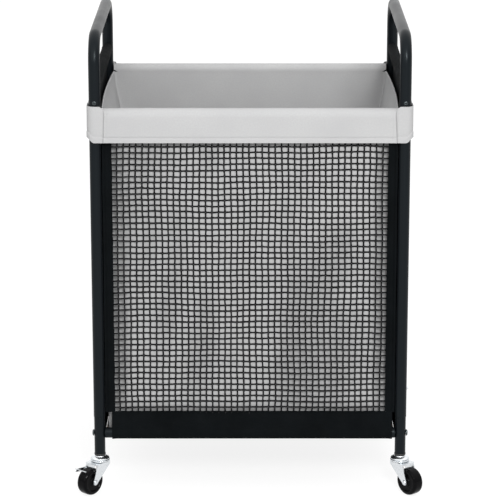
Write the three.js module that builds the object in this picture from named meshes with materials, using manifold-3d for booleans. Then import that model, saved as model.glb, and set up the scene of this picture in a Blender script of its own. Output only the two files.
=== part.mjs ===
// A laundry sorter on wheels: two tall side hoops joined by rods, a black mesh bag hung on the
// rods, a light grey removable liner whose cuff folds outside, and four small swivel casters.
// Millimetres, +Z up. The origin is on the floor under the middle of the frame, +X is to the
// right and +Y to the rear.

import * as THREE from "three";
import { mergeVertices } from "three/addons/utils/BufferGeometryUtils.js";
import Module from "manifold-3d";

const wasm = await Module();
wasm.setup();

// ---- Driving dimensions ----

// Overall
const legSpacingX = 500;
const legSpacingY = 380;
const handleHeight = 765; // centreline of the handle bars above the floor

// Tubes and rods
const tubeDiameter = 19;
const tubeWall = 1.2;
const handleBendRadius = 42; // centreline
const lowerLegStep = 0.5; // how much smaller the lower leg's radius is than the upper leg's
const crossbarDiameter = 16;
const bottomRodDiameter = 17.6;
const rodPlugLength = 12; // threaded plug in each end of a bolted rod
const legNeckLength = 60; // narrowed top of the upper leg, inside the hoop
const lowerNeckLength = 36; // narrowed top of the lower leg, inside the upper leg

// Levels, measured down from the handle bar's centreline
const crossbarDrop = 83;
const hoopScrewDrop = 103;
const topRodDrop = 125.5;
const hoopJointDrop = 153;

// Levels, measured up from the top of the casters
const bottomRodRise = 39;
const legJointRise = 67;

// Fasteners
const rodScrew = { shankRadius: 2, headRadius: 4, headHeight: 1.2, shankLength: 31 };
const hoopScrew = { shankRadius: 2, headRadius: 3.4, headHeight: 1.6, shankLength: 12 };
const rodBolt = { shankRadius: 2.5, headRadius: 5.3, headHeight: 3, shankLength: 30 };

// Fabric and board
const fabricThickness = 1.6;
const sleeveThickness = 0.9;
const frontPanelSideGap = 8; // from the end of a front or rear sleeve to the legs
const sidePanelEndGap = 4; // from the end of a side sleeve to the legs
const cuffHeight = 55;
const linerCornerRadius = 12;
const baseBoardThickness = 4;
const bagFloorDrop = 4; // from the bottom rods' centreline down to the bag's floor

// Casters
const wheelDiameter = 45;
const wheelWidth = 20;
const wheelChamfer = 2;
const casterTrail = 25;
const casterHeading = 50; // degrees from the X axis towards the Y axis, pointing outwards
const axleRadius = 2.8;
const axleHeadRadius = 3.9;
const axleHeadHeight = 1.7;
const forkPlateThickness = 1.8;
const forkTopThickness = 2;
const forkTopRadius = 15;
const forkFrontBeforeAxle = 4; // how far the top plate's front edge stops short of the axle
const forkTipRadius = 4.8;
const forkShoulderDepth = 5; // height of the arms' straight upper ends
const wheelTopGap = 5;
const wheelSideGap = 1.2;
const stemRadius = 4;
const stemLength = 26; // above the raceway cup, inside the socket
const stemRivetRadius = 6.5;
const stemRivetHeight = 3;
const raceRadius = 16;
const raceRingHeight = 5;
const raceTopRadius = 9;
const raceHeight = 9.3;
const socketFlangeHeight = 4;
const socketFlangeChamfer = 1;
const socketPlugLength = 26;

// Brake lever, seen from the side: along the trail from the stem, and up
const leverPivotBeforeAxle = 5;
const leverPivotBelowFork = 10;
const leverPivotRadius = 2;
const leverThickness = 1.5;
const leverHalfWidth = 3.4;
const brakeTabReach = 3.6; // radial, from the tread to the released tab's inner edge
const brakeTabAngle = 54; // degrees above level, of that edge about the axle
const brakeTabSlope = 28; // degrees above level, of the tab's plate
const brakeTabLength = 5;
const brakeTabFarSide = 6; // how far the tab reaches past the wheel's mid-plane

// Clearances
const seatGap = 0.3; // between pieces that touch
const slipClearance = 0.4; // radial, of a tube's narrowed end in its mate
const holeClearance = 0.4; // radial, around a screw, a pin or a rod
const cuffClearance = 2.2; // radial, from the tubes to the inside of the cuff

// Facets
const tubeFacets = 16;
const smallFacets = 10;
const wheelFacets = 24;
const bendSteps = 4;

// ---- Sizes that follow ----

const tubeRadius = tubeDiameter / 2;
const tubeBoreRadius = tubeRadius - tubeWall;
const neckRadius = tubeBoreRadius - slipClearance;
const neckBoreRadius = neckRadius - tubeWall;
const lowerLegRadius = tubeRadius - lowerLegStep;
const lowerLegBoreRadius = lowerLegRadius - tubeWall;
const crossbarRadius = crossbarDiameter / 2;
const bottomRodRadius = bottomRodDiameter / 2;

const wheelRadius = wheelDiameter / 2;
const forkUndersideZ = wheelDiameter + wheelTopGap;
const forkTopZ = forkUndersideZ + forkTopThickness;
const raceBottomZ = forkTopZ + seatGap;
const raceTopZ = raceBottomZ + raceHeight;
const casterHeight = raceTopZ + seatGap;

const crossbarZ = handleHeight - crossbarDrop;
const hoopScrewZ = handleHeight - hoopScrewDrop;
const topRodZ = handleHeight - topRodDrop;
const hoopJointZ = handleHeight - hoopJointDrop;
const bottomRodZ = casterHeight + bottomRodRise;
const legJointZ = casterHeight + legJointRise;
const legFootZ = casterHeight + socketFlangeHeight + seatGap;

const legX = legSpacingX / 2;
const legY = legSpacingY / 2;

const topSleeveRadius = tubeRadius + holeClearance + sleeveThickness;
const bottomSleeveRadius = bottomRodRadius + holeClearance + sleeveThickness;
const cuffInnerRadius = tubeRadius + cuffClearance;
const cuffOuterRadius = cuffInnerRadius + fabricThickness;
const linerTopZ = topRodZ + topSleeveRadius + seatGap + fabricThickness;
const linerHalfX = legX - bottomSleeveRadius - holeClearance;
const linerHalfY = legY - Math.max(topSleeveRadius, bottomSleeveRadius) - holeClearance;
const floorHalfY = legY - bottomSleeveRadius - holeClearance;
const bagFloorZ = bottomRodZ - bagFloorDrop;
const baseBoardZ = bagFloorZ + fabricThickness + seatGap;
const linerFloorZ = baseBoardZ + baseBoardThickness + seatGap;

// ---- Colours ----

const blackPaint = { color: 0x202528, roughness: 0.38, metalness: 0.1 };
const blackPlastic = { color: 0x17181a, roughness: 0.5, metalness: 0 };
const wheelPlastic = { color: 0x0c0c0d, roughness: 0.3, metalness: 0 };
const brightZinc = { color: 0xd9dde0, roughness: 0.25, metalness: 1 };
const screwSteel = { color: 0xb9bcc0, roughness: 0.3, metalness: 1 };
const blackMesh = { color: 0x0b0c0d, roughness: 0.8, metalness: 0 };
const blackFabric = { color: 0x17191c, roughness: 0.9, metalness: 0 };
const greyFabric = { color: 0xcfcfcd, roughness: 0.95, metalness: 0 };
const fibreBoard = { color: 0x8a6a4a, roughness: 0.85, metalness: 0 };

// ---- Solids ----

const degrees = THREE.MathUtils.degToRad;

function signedVolume(vertices, triangles) {
  let volume = 0;
  const [a, b, c] = [new THREE.Vector3(), new THREE.Vector3(), new THREE.Vector3()];
  for (let i = 0; i < triangles.length; i += 3) {
    a.fromArray(vertices, 3 * triangles[i]);
    b.fromArray(vertices, 3 * triangles[i + 1]);
    c.fromArray(vertices, 3 * triangles[i + 2]);
    volume += a.dot(b.cross(c)) / 6;
  }
  return volume;
}

// A closed geometry as a solid, with its shared vertices merged and its faces turned outwards.
function solid(geometry) {
  const bare = geometry.clone();
  bare.deleteAttribute("normal");
  bare.deleteAttribute("uv");
  const merged = mergeVertices(bare, 1e-4);
  const vertices = merged.attributes.position.array;
  const index = merged.index.array;
  const triangles = [];
  for (let i = 0; i < index.length; i += 3) {
    const [a, b, c] = [index[i], index[i + 1], index[i + 2]];
    if (a !== b && b !== c && c !== a) {
      triangles.push(a, b, c);
    }
  }
  if (signedVolume(vertices, triangles) < 0) {
    triangles.reverse();
  }
  const mesh = new wasm.Mesh({
    numProp: 3,
    vertProperties: new Float32Array(vertices),
    triVerts: new Uint32Array(triangles),
  });
  return new wasm.Manifold(mesh);
}

function geometryOf(body) {
  const mesh = body.getMesh();
  const geometry = new THREE.BufferGeometry();
  geometry.setAttribute("position", new THREE.BufferAttribute(mesh.vertProperties, 3));
  geometry.setIndex(new THREE.BufferAttribute(mesh.triVerts, 1));
  geometry.computeVertexNormals();
  return geometry;
}

// A solid of revolution about Z. The profile is a closed ring of [radius, z] points, or a
// line of them that starts and ends on the axis.
function turned(profile, facets) {
  const points = profile.map(([radius, z]) => new THREE.Vector2(radius, z));
  const onAxis = profile[0][0] === 0 && profile.at(-1)[0] === 0;
  if (!onAxis) {
    points.push(points[0].clone());
  }
  return new THREE.LatheGeometry(points, facets).rotateX(Math.PI / 2);
}

function ring(innerRadius, outerRadius, fromZ, toZ, facets) {
  const profile = [
    [innerRadius, fromZ],
    [outerRadius, fromZ],
    [outerRadius, toZ],
    [innerRadius, toZ],
  ];
  return turned(profile, facets);
}

// A round pin along X, Y or Z, from one place on that axis to another.
function pin(axis, radius, from, to, facets = smallFacets) {
  const geometry = new THREE.CylinderGeometry(radius, radius, to - from, facets);
  geometry.translate(0, (from + to) / 2, 0);
  if (axis === "x") {
    geometry.rotateZ(-Math.PI / 2);
  }
  if (axis === "z") {
    geometry.rotateX(Math.PI / 2);
  }
  return geometry;
}

function block(sizeX, sizeY, sizeZ) {
  return new THREE.BoxGeometry(sizeX, sizeY, sizeZ);
}

function extruded(shape, depth, curveSegments = 8) {
  return new THREE.ExtrudeGeometry(shape, { depth, bevelEnabled: false, curveSegments });
}

function roundedRectangle(halfX, halfY, radius) {
  const shape = new THREE.Shape();
  shape.moveTo(halfX, -halfY + radius);
  shape.absarc(halfX - radius, halfY - radius, radius, 0, Math.PI / 2);
  shape.absarc(-halfX + radius, halfY - radius, radius, Math.PI / 2, Math.PI);
  shape.absarc(-halfX + radius, -halfY + radius, radius, Math.PI, 1.5 * Math.PI);
  shape.absarc(halfX - radius, -halfY + radius, radius, 1.5 * Math.PI, 2 * Math.PI);
  return shape;
}

function upright(halfX, halfY, radius, fromZ, toZ) {
  const geometry = extruded(roundedRectangle(halfX, halfY, radius), toZ - fromZ, 3);
  return solid(geometry.translate(0, 0, fromZ));
}

// ---- The sorter ----

const sorter = new THREE.Group();

function addMesh(parent, name, geometry, finish, position = [0, 0, 0], rotation = [0, 0, 0]) {
  const mesh = new THREE.Mesh(geometry, new THREE.MeshStandardMaterial(finish));
  mesh.name = name;
  mesh.position.set(...position);
  mesh.rotation.set(...rotation);
  parent.add(mesh);
  return mesh;
}

const corners = [
  { name: "front_left", sideX: -1, sideY: -1, braked: true },
  { name: "front_right", sideX: 1, sideY: -1, braked: false },
  { name: "rear_left", sideX: -1, sideY: 1, braked: false },
  { name: "rear_right", sideX: 1, sideY: 1, braked: true },
];
const sides = [
  { name: "left", sideX: -1 },
  { name: "right", sideX: 1 },
];
const ends = [
  { name: "front", sideY: -1 },
  { name: "rear", sideY: 1 },
];

// ---- Side hoops ----

// The hoop's centreline: up one leg, round a bend, along the handle and down the other leg.
// Its parameter is spread over the bends, so that straight stretches take one step each.
class HoopPath extends THREE.Curve {
  constructor() {
    super();
    this.stations = [new THREE.Vector3(0, -legY, hoopJointZ + seatGap)];
    const bendY = legY - handleBendRadius;
    const bendZ = handleHeight - handleBendRadius;
    for (let i = 0; i <= 2 * bendSteps + 1; i += 1) {
      const side = i <= bendSteps ? -1 : 1;
      const step = i <= bendSteps ? i : i - 1;
      const angle = Math.PI - (step * Math.PI) / (2 * bendSteps);
      const y = side * bendY + handleBendRadius * Math.cos(angle);
      this.stations.push(new THREE.Vector3(0, y, bendZ + handleBendRadius * Math.sin(angle)));
    }
    this.stations.push(new THREE.Vector3(0, legY, hoopJointZ + seatGap));
  }

  get steps() {
    return this.stations.length - 1;
  }

  getPoint(t, target = new THREE.Vector3()) {
    const place = THREE.MathUtils.clamp(t, 0, 1) * this.steps;
    const before = Math.min(Math.floor(place), this.steps - 1);
    return target.lerpVectors(this.stations[before], this.stations[before + 1], place - before);
  }

  getTangent(t, target = new THREE.Vector3()) {
    const place = Math.round(t * this.steps);
    const before = this.stations[Math.max(place - 1, 0)];
    const here = this.stations[place];
    const after = this.stations[Math.min(place + 1, this.steps)];
    const arriving = here.clone().sub(before).normalize();
    const leaving = after.clone().sub(here).normalize();
    return target.addVectors(arriving, leaving).normalize();
  }

  getUtoTmapping(u) {
    return u;
  }
}

function tubeSection() {
  const section = new THREE.Shape();
  section.absarc(0, 0, tubeRadius, 0, 2 * Math.PI);
  const bore = new THREE.Path();
  bore.absarc(0, 0, tubeBoreRadius, 0, 2 * Math.PI);
  section.holes.push(bore);
  return section;
}

function hoopGeometry() {
  const path = new HoopPath();
  const curveSegments = tubeFacets / 2;
  const sweep = { steps: path.steps, curveSegments, extrudePath: path };
  let hoop = solid(new THREE.ExtrudeGeometry(tubeSection(), sweep));
  const rodHoleRadius = rodScrew.shankRadius + holeClearance;
  const screwHoleRadius = hoopScrew.shankRadius + holeClearance;
  for (const { sideY } of ends) {
    const rodHole = pin("x", rodHoleRadius, -2 * tubeRadius, 2 * tubeRadius);
    hoop = hoop.subtract(solid(rodHole.translate(0, sideY * legY, topRodZ)));
    const far = sideY * (legY + 2 * tubeRadius);
    const near = sideY * legY;
    const screwHole = pin("y", screwHoleRadius, Math.min(near, far), Math.max(near, far));
    hoop = hoop.subtract(solid(screwHole.translate(0, 0, hoopScrewZ)));
  }
  return geometryOf(hoop);
}

function addHoops() {
  const hoop = hoopGeometry();
  const crossbarEnd = legY - tubeRadius - seatGap;
  const crossbar = ring(
    crossbarRadius - tubeWall, crossbarRadius, -crossbarEnd, crossbarEnd, tubeFacets,
  );
  for (const { name, sideX } of sides) {
    addMesh(sorter, `handle_hoop_${name}`, hoop, blackPaint, [sideX * legX, 0, 0]);
    const place = [sideX * legX, 0, crossbarZ];
    const alongY = [Math.PI / 2, 0, 0];
    addMesh(sorter, `side_crossbar_${name}`, crossbar, blackPaint, place, alongY);
  }
}

// ---- Legs ----

function upperLegGeometry() {
  const topZ = hoopJointZ + legNeckLength;
  const profile = [
    [tubeBoreRadius, legJointZ],
    [tubeRadius, legJointZ],
    [tubeRadius, hoopJointZ],
    [neckRadius, hoopJointZ],
    [neckRadius, topZ],
    [neckBoreRadius, topZ],
    [neckBoreRadius, hoopJointZ - tubeWall],
    [tubeBoreRadius, hoopJointZ - tubeWall],
  ];
  const rodHoleRadius = rodScrew.shankRadius + holeClearance;
  const screwHoleRadius = hoopScrew.shankRadius + holeClearance;
  const rodHole = pin("x", rodHoleRadius, -tubeRadius, tubeRadius).translate(0, 0, topRodZ);
  const screwHole = pin("y", screwHoleRadius, -tubeRadius, 0).translate(0, 0, hoopScrewZ);
  const leg = solid(turned(profile, tubeFacets));
  return geometryOf(leg.subtract(solid(rodHole)).subtract(solid(screwHole)));
}

function lowerLegGeometry() {
  const shoulderZ = legJointZ - seatGap;
  const topZ = shoulderZ + lowerNeckLength;
  const profile = [
    [lowerLegBoreRadius, legFootZ],
    [lowerLegRadius, legFootZ],
    [lowerLegRadius, shoulderZ],
    [neckRadius, shoulderZ],
    [neckRadius, topZ],
    [neckBoreRadius, topZ],
    [neckBoreRadius, shoulderZ - tubeWall],
    [lowerLegBoreRadius, shoulderZ - tubeWall],
  ];
  const boltHoleRadius = rodBolt.shankRadius + holeClearance;
  const boltHole = pin("x", boltHoleRadius, -tubeRadius, tubeRadius);
  const leg = solid(turned(profile, tubeFacets));
  return geometryOf(leg.subtract(solid(boltHole.translate(0, 0, bottomRodZ))));
}

function addLegs() {
  const upperLeg = upperLegGeometry();
  const lowerLeg = lowerLegGeometry();
  for (const { name, sideX, sideY } of corners) {
    const place = [sideX * legX, sideY * legY, 0];
    const turn = [0, 0, sideY > 0 ? Math.PI : 0];
    addMesh(sorter, `leg_upper_${name}`, upperLeg, blackPaint, place, turn);
    addMesh(sorter, `leg_lower_${name}`, lowerLeg, blackPaint, place, turn);
  }
}

// ---- Rods and their screws ----

// A tube along Z with a threaded plug in each end.
function boltedRod(radius, halfLength, screw) {
  const boreRadius = radius - tubeWall;
  const threadRadius = screw.shankRadius + holeClearance;
  const plugInner = halfLength - rodPlugLength;
  const profile = [
    [threadRadius, -halfLength],
    [radius, -halfLength],
    [radius, halfLength],
    [threadRadius, halfLength],
    [threadRadius, plugInner],
    [boreRadius, plugInner],
    [boreRadius, -plugInner],
    [threadRadius, -plugInner],
  ];
  return turned(profile, tubeFacets);
}

// A screw along Z: its head stands on z = 0 and its shank hangs below.
function screwGeometry(screw) {
  const domeRadius = 0.75 * screw.headRadius;
  const profile = [
    [0, -screw.shankLength],
    [screw.shankRadius, -screw.shankLength],
    [screw.shankRadius, 0],
    [screw.headRadius, 0],
    [screw.headRadius, screw.headHeight / 2],
    [domeRadius, screw.headHeight],
    [0, screw.headHeight],
  ];
  return turned(profile, smallFacets);
}

function addRods() {
  const alongX = [0, Math.PI / 2, 0];
  const topRod = boltedRod(tubeRadius, legX - tubeRadius - seatGap, rodScrew);
  const bottomHalf = legX - lowerLegRadius - seatGap;
  const bottomRod = boltedRod(bottomRodRadius, bottomHalf, rodBolt);
  for (const { name, sideY } of ends) {
    const y = sideY * legY;
    addMesh(sorter, `top_rod_${name}`, topRod, blackPaint, [0, y, topRodZ], alongX);
    addMesh(sorter, `bottom_rod_${name}`, bottomRod, blackPaint, [0, y, bottomRodZ], alongX);
  }
  const sideHalf = legY - lowerLegRadius - seatGap;
  const sideRod = ring(
    bottomRodRadius - tubeWall, bottomRodRadius, -sideHalf, sideHalf, tubeFacets,
  );
  for (const { name, sideX } of sides) {
    const place = [sideX * legX, 0, bottomRodZ];
    const alongY = [Math.PI / 2, 0, 0];
    addMesh(sorter, `bottom_side_rod_${name}`, sideRod, blackPaint, place, alongY);
  }
}

function addScrews() {
  const rodScrewShape = screwGeometry(rodScrew);
  const hoopScrewShape = screwGeometry(hoopScrew);
  const boltShape = screwGeometry(rodBolt);
  for (const { name, sideX, sideY } of corners) {
    const outX = [0, (sideX * Math.PI) / 2, 0];
    const outY = [(-sideY * Math.PI) / 2, 0, 0];
    const y = sideY * legY;
    const topX = sideX * (legX + tubeRadius + seatGap);
    const bottomX = sideX * (legX + lowerLegRadius + seatGap);
    const hoopY = sideY * (legY + tubeRadius + seatGap);
    const hoopPlace = [sideX * legX, hoopY, hoopScrewZ];
    addMesh(sorter, `top_rod_screw_${name}`, rodScrewShape, screwSteel, [topX, y, topRodZ], outX);
    addMesh(sorter, `rod_bolt_${name}`, boltShape, blackPaint, [bottomX, y, bottomRodZ], outX);
    addMesh(sorter, `hoop_screw_${name}`, hoopScrewShape, blackPaint, hoopPlace, outY);
  }
}

// ---- Bag, board and liner ----

// A flat panel with a round sleeve along its bottom edge, at the origin, and another along its
// top edge. The shape is the panel seen end-on, and the panel is extruded to its full length.
function sleevedPanel(bottomRodR, topRodR, height, length) {
  const half = fabricThickness / 2;
  const bottomOuter = bottomRodR + holeClearance + sleeveThickness;
  const topOuter = topRodR + holeClearance + sleeveThickness;
  const bottomAngle = Math.asin(half / bottomOuter);
  const topAngle = Math.asin(half / topOuter);
  const shape = new THREE.Shape();
  const up = Math.PI / 2;
  shape.absarc(0, height, topOuter, -up + topAngle, 3 * up - topAngle, false);
  shape.absarc(0, 0, bottomOuter, up + bottomAngle, 5 * up - bottomAngle, false);
  for (const [z, radius] of [[height, topRodR], [0, bottomRodR]]) {
    const hole = new THREE.Path();
    hole.absarc(0, z, radius + holeClearance, 0, 2 * Math.PI);
    shape.holes.push(hole);
  }
  const geometry = extruded(shape, length, tubeFacets / 2);
  return geometry.translate(0, 0, -length / 2).rotateX(Math.PI / 2);
}

function addBag() {
  const meshLength = 2 * (legX - tubeRadius - frontPanelSideGap);
  const meshPanel = sleevedPanel(bottomRodRadius, tubeRadius, topRodZ - bottomRodZ, meshLength);
  for (const { name, sideY } of ends) {
    const place = [0, sideY * legY, bottomRodZ];
    addMesh(sorter, `bag_mesh_${name}`, meshPanel, blackMesh, place, [0, 0, Math.PI / 2]);
  }
  const sideLength = 2 * (legY - tubeRadius - sidePanelEndGap);
  const sideHeight = crossbarZ - bottomRodZ;
  const sidePanel = sleevedPanel(bottomRodRadius, crossbarRadius, sideHeight, sideLength);
  for (const { name, sideX } of sides) {
    const place = [sideX * legX, 0, bottomRodZ];
    addMesh(sorter, `bag_side_${name}`, sidePanel, blackFabric, place);
  }
  const floor = block(2 * linerHalfX, 2 * floorHalfY, fabricThickness);
  const floorZ = bagFloorZ + fabricThickness / 2;
  addMesh(sorter, "bag_floor", floor, blackFabric, [0, 0, floorZ]);
  const board = block(2 * linerHalfX, 2 * floorHalfY, baseBoardThickness);
  const boardZ = baseBoardZ + baseBoardThickness / 2;
  addMesh(sorter, "base_board", board, fibreBoard, [0, 0, boardZ]);
}

// The liner is an open tub. Its front and rear walls fold over the top rods into a cuff, which
// runs as a band outside the legs all the way round.
function addLiner() {
  const thick = fabricThickness;
  const innerX = linerHalfX - thick;
  const innerY = linerHalfY - thick;
  const innerRadius = linerCornerRadius - thick;
  const above = linerTopZ + thick;
  const tub = upright(linerHalfX, linerHalfY, linerCornerRadius, linerFloorZ, linerTopZ);
  const hollow = upright(innerX, innerY, innerRadius, linerFloorZ + thick, above);
  const cuffX = legX + cuffOuterRadius;
  const cuffY = legY + cuffOuterRadius;
  const cuffBottomZ = linerTopZ - cuffHeight;
  const band = upright(cuffX, cuffY, cuffOuterRadius, cuffBottomZ, linerTopZ);
  const room = upright(
    legX + cuffInnerRadius, legY + cuffInnerRadius, cuffInnerRadius, cuffBottomZ - thick, above,
  );
  let liner = tub.subtract(hollow).add(band.subtract(room));
  const foldDepth = cuffY - innerY;
  const foldWidth = 2 * Math.min(linerHalfX - linerCornerRadius, legX - tubeRadius);
  for (const { sideY } of ends) {
    const fold = block(foldWidth, foldDepth, thick);
    fold.translate(0, sideY * (innerY + foldDepth / 2), linerTopZ - thick / 2);
    liner = liner.add(solid(fold));
  }
  addMesh(sorter, "liner", geometryOf(liner), greyFabric);
}

// ---- Casters ----

// Each caster is built in its own frame: the stem stands on the origin, and the wheel trails
// along +X.

function casterSocket() {
  const plugRadius = lowerLegBoreRadius - slipClearance;
  const boreRadius = stemRadius + holeClearance;
  const flangeTopZ = casterHeight + socketFlangeHeight;
  const topZ = flangeTopZ + socketPlugLength;
  const profile = [
    [boreRadius, casterHeight],
    [tubeRadius - socketFlangeChamfer, casterHeight],
    [tubeRadius, casterHeight + socketFlangeChamfer],
    [tubeRadius, flangeTopZ],
    [plugRadius, flangeTopZ],
    [plugRadius, topZ],
    [boreRadius, topZ],
  ];
  return turned(profile, tubeFacets);
}

function casterStem() {
  const rivetTopZ = forkUndersideZ - seatGap;
  const profile = [
    [0, rivetTopZ - stemRivetHeight],
    [stemRivetRadius, rivetTopZ - stemRivetHeight],
    [stemRivetRadius, rivetTopZ],
    [stemRadius, rivetTopZ],
    [stemRadius, raceBottomZ],
    [raceRadius, raceBottomZ],
    [raceRadius, raceBottomZ + raceRingHeight],
    [raceTopRadius, raceTopZ],
    [stemRadius, raceTopZ],
    [stemRadius, raceTopZ + stemLength],
    [0, raceTopZ + stemLength],
  ];
  return turned(profile, tubeFacets);
}

const forkInnerY = wheelWidth / 2 + wheelSideGap;
const forkOuterY = forkInnerY + forkPlateThickness;
const forkFrontX = casterTrail - forkFrontBeforeAxle;
const leverPivotX = casterTrail - leverPivotBeforeAxle;
const leverPivotZ = forkUndersideZ - leverPivotBelowFork;

// One side plate of the fork, seen from the side: as wide as the top plate where it leaves it,
// and narrowing to a round tip about the axle.
function forkArmShape() {
  const backX = -Math.sqrt(forkTopRadius ** 2 - forkInnerY ** 2);
  const lowZ = forkTopZ - forkShoulderDepth;
  const shape = new THREE.Shape();
  shape.moveTo(forkFrontX, forkTopZ);
  shape.lineTo(backX, forkTopZ);
  shape.lineTo(backX, lowZ);
  shape.absarc(casterTrail, wheelRadius, forkTipRadius, degrees(225), degrees(370));
  shape.lineTo(forkFrontX, lowZ);
  return shape;
}

function forkGeometry(braked) {
  const topPlate = block(forkFrontX, 2 * forkOuterY, forkTopThickness);
  topPlate.translate(forkFrontX / 2, 0, forkTopZ - forkTopThickness / 2);
  const disc = pin("z", forkTopRadius, forkUndersideZ, forkTopZ, tubeFacets);
  let fork = solid(topPlate).add(solid(disc));
  for (const side of [-1, 1]) {
    const arm = extruded(forkArmShape(), forkPlateThickness, 4).rotateX(Math.PI / 2);
    const armY = side > 0 ? forkOuterY : -forkInnerY;
    fork = fork.add(solid(arm.translate(0, armY, 0)));
  }
  const past = forkOuterY + forkPlateThickness;
  const stemHole = pin("z", stemRadius + holeClearance, forkUndersideZ - 1, forkTopZ + 1);
  const axleHole = pin("y", axleRadius + holeClearance, -past, past);
  axleHole.translate(casterTrail, 0, wheelRadius);
  fork = fork.subtract(solid(stemHole)).subtract(solid(axleHole));
  if (braked) {
    const pivotHole = pin("y", leverPivotRadius + holeClearance, -past, 0);
    fork = fork.subtract(solid(pivotHole.translate(leverPivotX, 0, leverPivotZ)));
  }
  return geometryOf(fork);
}

function axleGeometry() {
  const seatY = forkOuterY + seatGap;
  const endY = seatY + axleHeadHeight;
  const profile = [
    [0, -endY],
    [axleHeadRadius, -endY],
    [axleHeadRadius, -seatY],
    [axleRadius, -seatY],
    [axleRadius, seatY],
    [axleHeadRadius, seatY],
    [axleHeadRadius, endY],
    [0, endY],
  ];
  return turned(profile, smallFacets);
}

function wheelGeometry() {
  const half = wheelWidth / 2;
  const boreRadius = axleRadius + holeClearance;
  const profile = [
    [boreRadius, -half],
    [wheelRadius - wheelChamfer, -half],
    [wheelRadius, -half + wheelChamfer],
    [wheelRadius, half - wheelChamfer],
    [wheelRadius - wheelChamfer, half],
    [boreRadius, half],
  ];
  return turned(profile, wheelFacets);
}

// The brake lever lies along the outside of one fork arm, on a pin through it, and ends in a
// tab that stands across the tread. Its frame is the caster's, moved to the pivot.
function brakeLeverGeometry() {
  const innerY = -forkOuterY - seatGap;
  const edge = degrees(brakeTabAngle);
  const edgeRadius = wheelRadius + brakeTabReach;
  const edgeX = casterTrail + edgeRadius * Math.cos(edge) - leverPivotX;
  const edgeZ = wheelRadius + edgeRadius * Math.sin(edge) - leverPivotZ;
  const slope = Math.atan2(edgeZ, edgeX);
  const side = new THREE.Shape();
  side.absarc(0, 0, leverHalfWidth, slope + Math.PI / 2, slope + 1.5 * Math.PI);
  const endX = edgeX + leverHalfWidth * Math.sin(slope);
  const endZ = edgeZ - leverHalfWidth * Math.cos(slope);
  side.lineTo(endX, endZ);
  side.lineTo(endX + brakeTabLength * Math.cos(slope), endZ + brakeTabLength * Math.sin(slope));
  side.lineTo(edgeX, edgeZ + leverThickness);
  const plate = extruded(side, leverThickness, 4).rotateX(Math.PI / 2).translate(0, innerY, 0);
  const tabWidth = leverThickness - innerY + brakeTabFarSide;
  const tab = block(brakeTabLength, tabWidth, leverThickness);
  tab.translate(brakeTabLength / 2, brakeTabFarSide - tabWidth / 2, 0);
  tab.rotateY(-degrees(brakeTabSlope)).translate(edgeX, 0, edgeZ);
  const pivotPin = pin("y", leverPivotRadius, innerY - leverThickness / 2, -forkInnerY);
  return geometryOf(solid(plate).add(solid(tab)).add(solid(pivotPin)));
}

function addCasters() {
  const socket = casterSocket();
  const stem = casterStem();
  const axle = axleGeometry();
  const wheel = wheelGeometry();
  const lever = brakeLeverGeometry();
  const forks = { true: forkGeometry(true), false: forkGeometry(false) };
  const alongY = [Math.PI / 2, 0, 0];
  const heading = degrees(casterHeading);
  for (const { name, sideX, sideY, braked } of corners) {
    const caster = new THREE.Group();
    caster.position.set(sideX * legX, sideY * legY, 0);
    caster.rotation.z = Math.atan2(sideY * Math.sin(heading), sideX * Math.cos(heading));
    sorter.add(caster);
    const axlePlace = [casterTrail, 0, wheelRadius];
    addMesh(caster, `caster_socket_${name}`, socket, blackPlastic);
    addMesh(caster, `caster_stem_${name}`, stem, brightZinc);
    addMesh(caster, `caster_fork_${name}`, forks[braked], brightZinc);
    addMesh(caster, `caster_axle_${name}`, axle, brightZinc, axlePlace, alongY);
    addMesh(caster, `caster_wheel_${name}`, wheel, wheelPlastic, axlePlace, alongY);
    if (braked) {
      const pivotPlace = [leverPivotX, 0, leverPivotZ];
      addMesh(caster, `brake_lever_${name}`, lever, brightZinc, pivotPlace);
    }
  }
}

addHoops();
addLegs();
addRods();
addScrews();
addBag();
addLiner();
addCasters();

export default sorter;
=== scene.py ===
"""Looks for a laundry sorter on wheels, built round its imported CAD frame.

Metres, +Z up, +X to the right and +Y to the rear, in the frame's own places. The sub-assemblies
are the tube frame, its fasteners, the black mesh bag, the grey liner and the four casters.
"""

import logging
import math
from collections.abc import Callable, Sequence
from dataclasses import dataclass
from enum import Enum

import bmesh
import bpy
import numpy as np
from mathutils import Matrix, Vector, noise


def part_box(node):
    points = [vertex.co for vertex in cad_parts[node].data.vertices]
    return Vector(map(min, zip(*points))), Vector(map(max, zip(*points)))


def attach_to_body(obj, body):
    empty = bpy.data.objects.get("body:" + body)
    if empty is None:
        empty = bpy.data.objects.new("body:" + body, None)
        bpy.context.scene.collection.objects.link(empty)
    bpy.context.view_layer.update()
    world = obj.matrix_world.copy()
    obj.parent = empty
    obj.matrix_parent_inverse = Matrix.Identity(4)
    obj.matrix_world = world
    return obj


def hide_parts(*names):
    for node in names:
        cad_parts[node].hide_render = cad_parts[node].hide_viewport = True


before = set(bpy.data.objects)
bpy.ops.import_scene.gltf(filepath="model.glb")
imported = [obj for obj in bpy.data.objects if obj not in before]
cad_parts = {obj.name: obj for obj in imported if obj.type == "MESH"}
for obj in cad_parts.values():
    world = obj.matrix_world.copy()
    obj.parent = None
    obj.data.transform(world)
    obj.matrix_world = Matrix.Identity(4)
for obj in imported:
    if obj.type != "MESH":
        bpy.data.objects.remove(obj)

logging.basicConfig(level=logging.INFO, format="%(message)s")
log = logging.getLogger("laundry_sorter")

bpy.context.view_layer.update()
MM = 0.001
TINY = 1e-12  # keeps a division by a length safe
NOISE_SPAN = (0.3, 0.7)  # where most of a noise texture's values lie
SOFT_EDGE = 70.0  # cloth edges that turn more than this, in degrees, stay sharp

Colour = tuple[float, float, float]
Point = tuple[float, float, float]


class Side(Enum):
    """A side of the frame, with its sign along X."""

    LEFT = -1
    RIGHT = 1

    @property
    def word(self) -> str:
        """The side's name as the frame spells it."""
        return self.name.lower()


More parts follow.
